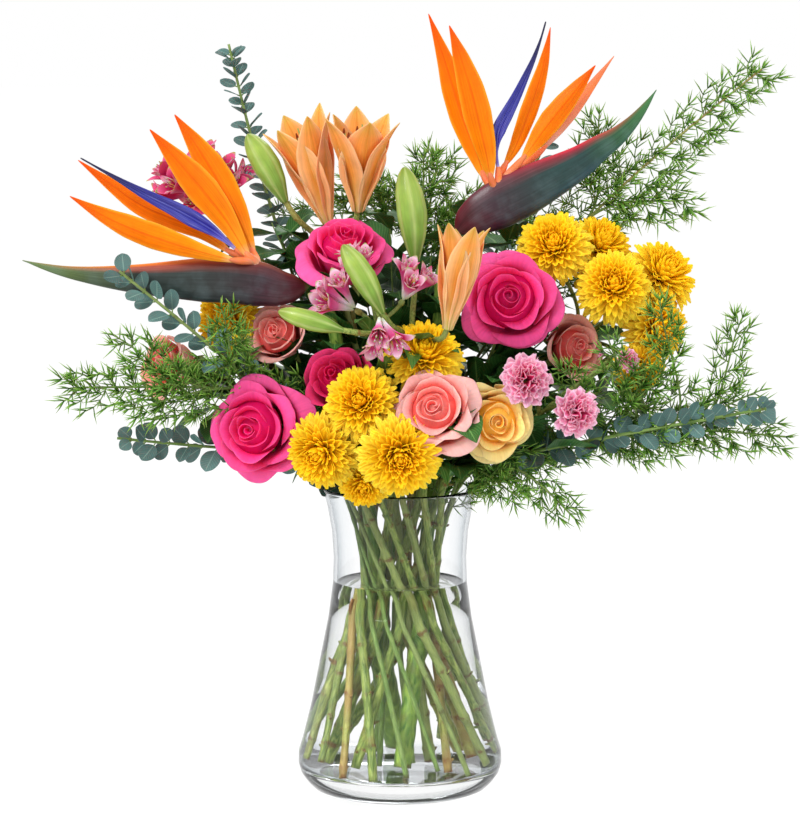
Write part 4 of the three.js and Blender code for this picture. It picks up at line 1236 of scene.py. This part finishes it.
def makeLily(node, look, seed):
    rng = random.Random(seed)
    fork = Vector(look["fork"]) * mm
    making = Making()
    leave = stemToFork(making, node, "lily", fork, rng)
    for name, own in {**look["blooms"], **look["buds"]}.items():
        points = smoothLine([Vector(p) * mm for p in own["line"]], 24)
        axis = (points[2] - points[0]).normalized()
        gap = (points[0] - fork).length
        twig = bezier(fork, fork + leave * gap * 0.35, points[0] - axis * gap * 0.35,
                      points[0] + axis * 2 * mm, 14)
        addStalk(making, twig, "twig", rng, radius=2.1, endShare=1.0)
        flower = Making()
        if name in look["blooms"]:
            parts = {"threads": [], "tips": []}
            addLilyBloom(flower, parts, points, own["flare"], own["half"], own["stamens"], rng)
            flower.finish(name + "_petals", lilySkin, "lily", [name], thick=0.8)
            if parts["threads"]:
                inside = Making()
                for thread in parts["threads"]:
                    making.rod(thread, lambda u: 0.6 * mm, 6, 0.6, 0.1)
                for tip, out, up in parts["tips"]:
                    bar = [tip + up * x * mm + out * 0.6 * mm for x in (-4, -2, 0, 2, 4)]
                    inside.rod(bar, lambda u: 1.3 * mm * math.sin(math.pi * clamp(u, 0.12, 0.88)), 8,
                               rng.random(), 0.5)
                inside.finish(name + "_anthers", antherDust, "lily", [name])
        else:
            addBud(flower, points, own["half"] * mm, rng)
            flower.finish(name + "_skin", budSkin, "lily_bud", [name])
    making.finish(node.replace("_stem", "_stalk"), stemGreen, "stem", [node], rounding=0)


for number, (node, look) in enumerate(lilies.items()):
    makeLily(node, look, seeds["lilies"] + number)
print("lilies made")

# Foliage
# from: where the leaves start, as a share of the stem; front: how far they turn their faces forward;
# sides: where a fern's further branches end
foliage = {
    "eucalyptus_top_left_spray": {"leaf": 15, "gap": 10, "from": 0.6, "front": 0.35},
    "eucalyptus_left_spray": {"leaf": 17, "gap": 15, "from": 0.58, "front": 0.6},
    "eucalyptus_low_left_spray": {"leaf": 17.5, "gap": 14.5, "from": 0.55, "front": 0.85},
    "eucalyptus_right_spray": {"leaf": 15.5, "gap": 11, "from": 0.52, "front": 0.85},
    "eucalyptus_back_spray": {"leaf": 12, "gap": 10, "from": 0.58, "front": 0.5},
    "fern_top_right_spray": {"branch": 54, "gap": 7.5, "from": 0.52,
                             "sides": [(222, 8, 446), (150, 34, 508)]},
    "fern_right_spray": {"branch": 46, "gap": 7.5, "from": 0.52,
                         "sides": [(250, -54, 362), (264, -50, 308), (204, -60, 268), (196, -60, 330),
                                   (188, -74, 376), (150, -78, 352), (122, -82, 330)]},
    "fern_low_spray": {"branch": 38, "gap": 6.5, "from": 0.6, "sides": [(86, -96, 236)]},
    "fern_left_spray": {"branch": 50, "gap": 7, "from": 0.52,
                        "sides": [(-206, -88, 352), (-128, -98, 372), (-196, -84, 298)]},
    "fern_back_spray": {"branch": 52, "gap": 7, "from": 0.56,
                        "sides": [(66, 72, 446), (-38, 78, 468), (-96, 58, 432), (18, 64, 476),
                                  (48, 50, 424), (-66, 44, 452), (104, 62, 424)]},
}
boxLow, boxHigh = (Vector(c) for c in cadBox)


def insideBox(p, spare=9 * mm):
    return all(boxLow[k] - spare <= p[k] <= boxHigh[k] + spare for k in range(3))


def addRoundLeaf(making, root, way, face, size, rng):
    # a short-stalked round leaf, slightly cupped, with a small point
    across = face.cross(way).normalized()
    up = way.cross(across).normalized()
    cup, bend = rng.uniform(0.05, 0.3), rng.uniform(-0.25, 0.4)
    grid = []
    for j in range(11):
        v = j / 10
        w = size * 0.46 * math.sin(math.pi * (0.03 + 0.94 * v)) ** 0.55 * (1 - 0.1 * v)
        w *= clamp(v * 12 + 0.1) * clamp((1 - v) * 12 + 0.05)
        centre = root + way * (size * (0.1 + v)) + up * (bend * size * v * v * 0.4)
        grid.append([centre + across * (x * w) + up * (abs(x) ** 2 * w * cup)
                     for x in (-1, -0.66, -0.33, 0, 0.33, 0.66, 1)])
    making.sheet(grid, rng.random(), 0.5)


def makeEucalyptus(node, look, seed):
    rng = random.Random(seed)
    stalk, leaves = Making(), Making()
    points = addStalk(stalk, followStem(node, 2.1 * mm), "twig", rng, radius=2.0, endShare=0.5)
    linesOf[node] = points
    ways = headings(points)
    length = lengthOf(points)
    at, n = look["from"] * length, 0
    while at < length - 3 * mm:
        i = min(len(points) - 1, int(at / length * (len(points) - 1)))
        t = ways[i]
        share = (at / length - look["from"]) / (1 - look["from"])
        size = look["leaf"] * mm * lerp(1.3, 0.75, share)
        out = spokeOf(t, (n % 2) * math.pi / 2 + rng.uniform(-0.4, 0.4))
        for sign in (1, -1):
            droop = Vector((0, 0, rng.uniform(-0.25, 0.1)))
            way = (out * sign + t * lerp(0.3, 0.8, share) + droop).normalized()
            root = points[i] + out * sign * 1.2 * mm
            forward = Vector((rng.uniform(-0.4, 0.4), -0.9, rng.uniform(0.1, 0.8)))
            face = t * (1 - look["front"]) + forward * look["front"]
            stalk.rod([root, root + way * size * 0.16], lambda u: 0.5 * mm, 6, 0.5, 0.2)
            if insideBox(root + way * size * 1.15):
                addRoundLeaf(leaves, root, way, face.normalized(), size * rng.uniform(0.85, 1.12), rng)
        at += look["gap"] * mm * lerp(1.15, 0.62, share)
        n += 1
    stalk.finish(node.replace("_spray", "_twig"), leafStalk, "eucalyptus", [node], rounding=0)
    leaves.finish(node.replace("_spray", "_leaves"), gumLeaf, "eucalyptus", [node], thick=0.45)


def addNeedle(making, root, way, size, rng):
    side = spokeOf(way, rng.uniform(0, 6))
    up = way.cross(side)
    rings = []
    for at, wide in ((0, 0.7), (0.5, 1.0), (1, 0.1)):
        centre = root + way * size * at + up * size * 0.12 * at * (1 - at)
        rings.append(loopRound(centre, side, up, 0.6 * mm * wide, (0, 2.1, 4.2)))
    making.tube(rings, rng.random(), 0.5)


def addTufts(needles, twig, size, gap, rng, start=0.1):
    # needles in whorls along a twig, and a full tuft at its end
    count, ways = max(3, int(lengthOf(twig) / gap)), headings(twig)
    for k in range(count + 1):
        s = lerp(start, 1.0, k / count) * (len(twig) - 1)
        i = min(len(twig) - 2, int(s))
        p, t = lerp(twig[i], twig[i + 1], s - i), ways[i]
        for m in range(3 if k < count else 6):
            out = spokeOf(t, m * math.tau / 3 + k * 0.9 + rng.uniform(-0.4, 0.4))
            way = (out + t * rng.uniform(0.5, 1.2) * (1 if k < count else 2)).normalized()
            reach = size * rng.uniform(0.7, 1.25)
            if insideBox(p + way * reach):
                addNeedle(needles, p, way, reach, rng)


def addFrond(stalk, needles, line, branch, gap, start, rng):
    # a feathery frond: side branches to the left and right of a line, each with shorter twigs of its own
    ways, length = headings(line), lengthOf(line)
    at, n = start * length, 0
    while at < length - 4 * mm:
        i = min(len(line) - 1, int(at / length * (len(line) - 1)))
        share = (at / length - start) / (1 - start)
        t = ways[i]
        flat = t.cross(awayFromMiddle).normalized()
        out = Matrix.Rotation((n % 2) * math.pi + rng.uniform(-0.75, 0.75), 3, t) @ flat
        reach = branch * lerp(1.0, 0.3, share) * rng.uniform(0.7, 1.12) * (0.6 + 0.4 * clamp(share * 5))
        end = line[i] + (out * 0.8 + t * 0.8).normalized() * reach + Vector((0, 0, -0.08 * reach))
        if insideBox(end):
            root, along = line[i], (end - line[i]).normalized()
            twig = bezier(root, root + out * reach * 0.35 + t * reach * 0.1, end - t * reach * 0.3, end, 9)
            stalk.rod(twig, lambda u: 0.6 * mm * lerp(1, 0.5, u), 5, 0.4, 0.1)
            addTufts(needles, twig, 12.2 * mm, 7.8 * mm, rng)
            for k in range(int(reach / (13 * mm))):
                j = 2 + k % 6
                turn = Matrix.Rotation(k * 2.6 + rng.uniform(-0.5, 0.5), 3, along)
                way = (turn @ flat + along).normalized()
                small = [twig[j] + way * reach * 0.26 * s for s in (0, 0.5, 1)]
                if insideBox(small[-1]):
                    stalk.rod(small, lambda u: 0.4 * mm, 5, 0.4, 0.1)
                    addTufts(needles, small, 10.8 * mm, 7.2 * mm, rng, 0.3)
        at += gap * rng.uniform(0.75, 1.2)
        n += 1
    addTufts(needles, line[-max(4, len(line) // 4):], 9 * mm, 5.2 * mm, rng, 0.0)


def makeFern(node, look, seed):
    rng = random.Random(seed)
    stalk, needles = Making(), Making()
    points = addStalk(stalk, followStem(node, 1.9 * mm), "fern", rng, radius=1.7, endShare=0.45)
    linesOf[node] = points
    addFrond(stalk, needles, points, look["branch"] * mm, look["gap"] * mm, look["from"], rng)
    for side in look["sides"]:
        tip = Vector(side) * mm
        upper = range(int(len(points) * 0.55), int(len(points) * 0.85))
        i = min(upper, key=lambda k: abs((tip - points[k]).length - 85 * mm))
        gap = (tip - points[i]).length
        t = (points[i + 1] - points[i - 1]).normalized()
        line = bezier(points[i], points[i] + t * gap * 0.35, lerp(points[i], tip, 0.7), tip, 16)
        stalk.rod(line, lambda u: 1.1 * mm * lerp(1, 0.5, u), 7, 0.4, 0.1)
        addFrond(stalk, needles, line, look["branch"] * mm * 0.6, look["gap"] * mm, 0.2, rng)
    stalk.finish(node.replace("_spray", "_twigs"), leafStalk, "fern", [node], rounding=0)
    needles.finish(node.replace("_spray", "_needles"), fernNeedle, "fern", [node], rounding=0)


for number, (node, look) in enumerate(foliage.items()):
    (makeEucalyptus if "leaf" in look else makeFern)(node, look, seeds["foliage"] + number)
    print(node, "followed to", [round(c / mm) for c in linesOf[node][-1]])
print("foliage made")

# Broad leaves on the rose and lily stems
broadLeaves = {
    "rose": {"from": 0.52, "to": 0.95, "count": 20, "length": 56, "half": 17, "finish": roseLeaf,
             "slot": "stem"},
    "lily": {"from": 0.56, "to": 0.99, "count": 20, "length": 66, "half": 8.5, "finish": lilyLeaf,
             "slot": "stem"},
    "chry": {"from": 0.55, "to": 0.98, "count": 18, "length": 52, "half": 15, "finish": roseLeaf,
             "slot": "chrysanthemum"},
    "alst": {"from": 0.6, "to": 0.97, "count": 7, "length": 54, "half": 6.5, "finish": lilyLeaf,
             "slot": "alstroemeria"},
    "carn": {"from": 0.6, "to": 0.97, "count": 7, "length": 40, "half": 7, "finish": roseLeaf,
             "slot": "carnation"},
    "euca": {"from": 0.5, "to": 0.64, "count": 3, "length": 46, "half": 13, "finish": roseLeaf,
             "slot": "eucalyptus"},
}
rimHeight = 236 * mm  # no leaf grows below the rim of the vase
bloomSpots = [(sum(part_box(n), Vector()) / 2, (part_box(n)[1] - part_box(n)[0]).length * 0.3)
              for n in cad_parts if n.endswith(("_bloom", "_spathe"))]


def addBroadLeaf(making, root, way, length, half, teeth, rng):
    down = Vector((0, 0, -1))
    droop = [(0, 0), (0.4, 0.02), (0.75, 0.1), (1, rng.uniform(0.12, 0.35))]
    points = smoothLine([root + way * length * u + down * length * drop for u, drop in droop], 22)
    lean = Vector((rng.uniform(-0.3, 0.3), rng.uniform(-0.3, 0.3), 0))
    face = (Vector((0, 0, 1)) + way * 0.2 + lean).normalized()
    widths = [(0, 0.05), (0.12, 0.5), (0.3, 0.92), (0.45, 1.0), (0.65, 0.82), (0.82, 0.45), (0.94, 0.16),
              (1, 0.02)]
    widths = [(u, w * half * (1 + (teeth and k % 2) * 0.06)) for k, (u, w) in enumerate(widths)]
    addBlade(making, points, widths, 0.22, face, ripple=0.05, tone=rng.random(),
             twist=rng.uniform(-0.5, 0.5))


def addLeavesTo(node, kind, seed):
    # leaves reach outward from the middle of the bunch, and keep off the flowers
    look, rng = broadLeaves[kind], random.Random(seed)
    points = linesOf[node]
    ways, making = headings(points), Making()
    for n in range(look["count"]):
        u = lerp(look["from"], look["to"], n / (look["count"] - 1)) + rng.uniform(-0.02, 0.02)
        i = min(len(points) - 1, int(u * (len(points) - 1)))
        if points[i].z < rimHeight:
            continue
        outward = math.atan2(points[i].y, points[i].x)
        for trial in range(8):
            a = outward + (n % 2 * 2 - 1) * rng.uniform(0.1, 0.8) + trial * 0.7
            outside = Vector((math.cos(a), math.sin(a), rng.uniform(-0.2, 0.5)))
            way = (outside + ways[i] * rng.uniform(0.3, 1.1)).normalized()
            length = look["length"] * mm * rng.uniform(0.75, 1.12)
            tip, middle = points[i] + way * length, points[i] + way * length * 0.6
            clear = all((tip - spot).length > size * 0.66 and (middle - spot).length > size * 0.5
                        for spot, size in bloomSpots)
            if clear and insideBox(tip, 4 * mm):
                addBroadLeaf(making, points[i], way, length, look["half"] * mm, kind in ("rose", "chry"), rng)
                break
    print(node, "has", len(making.faces) // 168, "broad leaves")  # 168 faces make one leaf
    if making.corners:
        name = node.rsplit("_", 1)[0] + "_broad_leaves"
        making.finish(name, look["finish"], look["slot"], [node], thick=0.4)


for number, node in enumerate(sorted(linesOf)):
    if node[:4] in broadLeaves:
        addLeavesTo(node, node[:4], seeds["leaves"] + number)
print("broad leaves made")


# Leafy sprigs that fill the bunch
sprigs = {
    "leaf": {"length": 44, "half": 14, "every": 11, "bare": 0.35},
    "front": [(-96, 8, 428), (10, 8, 446), (56, 18, 434), (-75, 12, 430), (-8, 2, 432), (-52, -24, 342),
              (-112, -14, 346), (24, 8, 408), (84, 22, 420), (118, -4, 352), (150, -24, 306),
              (38, -14, 352), (-146, -34, 296), (-72, 24, 402), (-10, -34, 322), (84, -34, 306),
              (-84, -50, 296), (60, 6, 384), (186, -14, 326), (-30, 14, 396)],
    "back": [(-70, 74, 384), (18, 84, 396), (96, 70, 362), (-24, 88, 330), (60, 88, 318),
             (-112, 58, 330), (142, 50, 322), (0, 76, 276), (-70, 66, 282), (76, 62, 276),
             (-150, 44, 290), (170, 40, 290)],
}


def makeSprigs(name, seed):
    rng, look = random.Random(seed), sprigs["leaf"]
    twigs, leaves, last = Making(), Making(), 25
    for target in sprigs[name]:
        tip = Vector(target) * mm
        foot = Vector((tip.x * 0.16, tip.y * 0.22, rimHeight))
        rise = (tip - foot).length
        line = bezier(foot, foot + Vector((0, 0, rise * 0.4)), lerp(foot, tip, 0.65), tip, last + 1)
        twigs.rod(line, lambda u: 1.1 * mm * lerp(1.0, 0.45, u), 7, rng.uniform(0.2, 0.6), 0.1)
        ways = headings(line)
        at, n = look["bare"] * rise, 0
        while at < rise:
            i = min(last, int(at / rise * last))
            out = spokeOf(ways[i], n * goldenAngle + rng.uniform(-0.4, 0.4))
            way = (out + ways[i] * rng.uniform(0.3, 0.9)).normalized()
            length = look["length"] * mm * rng.uniform(0.72, 1.1)
            if insideBox(line[i] + way * length, 4 * mm):
                half = look["half"] * mm * rng.uniform(0.8, 1.05)
                addBroadLeaf(leaves, line[i], way, length, half, False, rng)
            at += look["every"] * mm * rng.uniform(0.7, 1.2)
            n += 1
    twigs.finish("fill_twigs_" + name, leafStalk, "fern", ["fern_back_spray"], rounding=0)
    leaves.finish("fill_leaves_" + name, roseLeaf, "fern", ["fern_back_spray"], thick=0.4)


makeSprigs("front", seeds["sprigs"])
makeSprigs("back", seeds["sprigs"] + 1)
print("fill sprigs made")

# Stage: floor, light and camera
stage = {
    "floor": "606060",
    "glow": 0.89,
    "world": 1.0,
    "key": {"at": (-1.6, -2.2, 2.4), "size": 1.1, "watts": 62},
    "fill": {"at": (2.2, -1.4, 1.5), "size": 1.8, "watts": 12},
    "back": {"at": (0.6, 2.2, 2.2), "size": 1.6, "watts": 20},
    "camera": {"at": (0, -2.33, 0.549), "down": 6.49, "lens": 135.5},
}


def makeStage():
    mesh = bpy.data.meshes.new("floor")
    shape = bmesh.new()
    bmesh.ops.create_circle(shape, cap_ends=True, segments=64, radius=60)
    shape.to_mesh(mesh)
    shape.free()
    floor = bpy.data.objects.new("floor", mesh)
    bpy.context.scene.collection.objects.link(floor)
    f = Finish("pale_floor", 0.8, shine=0.0)
    f.shader.inputs["Emission Color"].default_value = (1, 1, 1, 1)
    f.shader.inputs["Emission Strength"].default_value = stage["glow"]
    mesh.materials.append(f.done(f.mix(f.math("MULTIPLY", f.cloud(3, 2), 0.03), stage["floor"], "707070")))

    world = bpy.data.worlds.new("soft_studio")
    bpy.context.scene.world = world
    world.use_nodes = True
    world.node_tree.nodes["Background"].inputs["Color"].default_value = (1, 1, 1, 1)
    world.node_tree.nodes["Background"].inputs["Strength"].default_value = stage["world"]

    target = Vector((0, 0, 0.3))
    for name in ("key", "fill", "back"):
        look = stage[name]
        light = bpy.data.lights.new(name, "AREA")
        light.shape, light.size, light.energy = "DISK", look["size"], look["watts"]
        lamp = bpy.data.objects.new(name, light)
        lamp.location = look["at"]
        lamp.rotation_euler = (target - lamp.location).to_track_quat("-Z", "Y").to_euler()
        bpy.context.scene.collection.objects.link(lamp)

    look = stage["camera"]
    lens = bpy.data.cameras.new("camera")
    lens.lens = look["lens"]
    camera = bpy.data.objects.new("camera", lens)
    camera.location = look["at"]
    camera.rotation_euler = (math.radians(90 - look["down"]), 0, 0)
    bpy.context.scene.collection.objects.link(camera)
    bpy.context.scene.camera = camera
    bpy.context.scene.view_settings.view_transform = "Standard"


makeStage()
print("stage set")
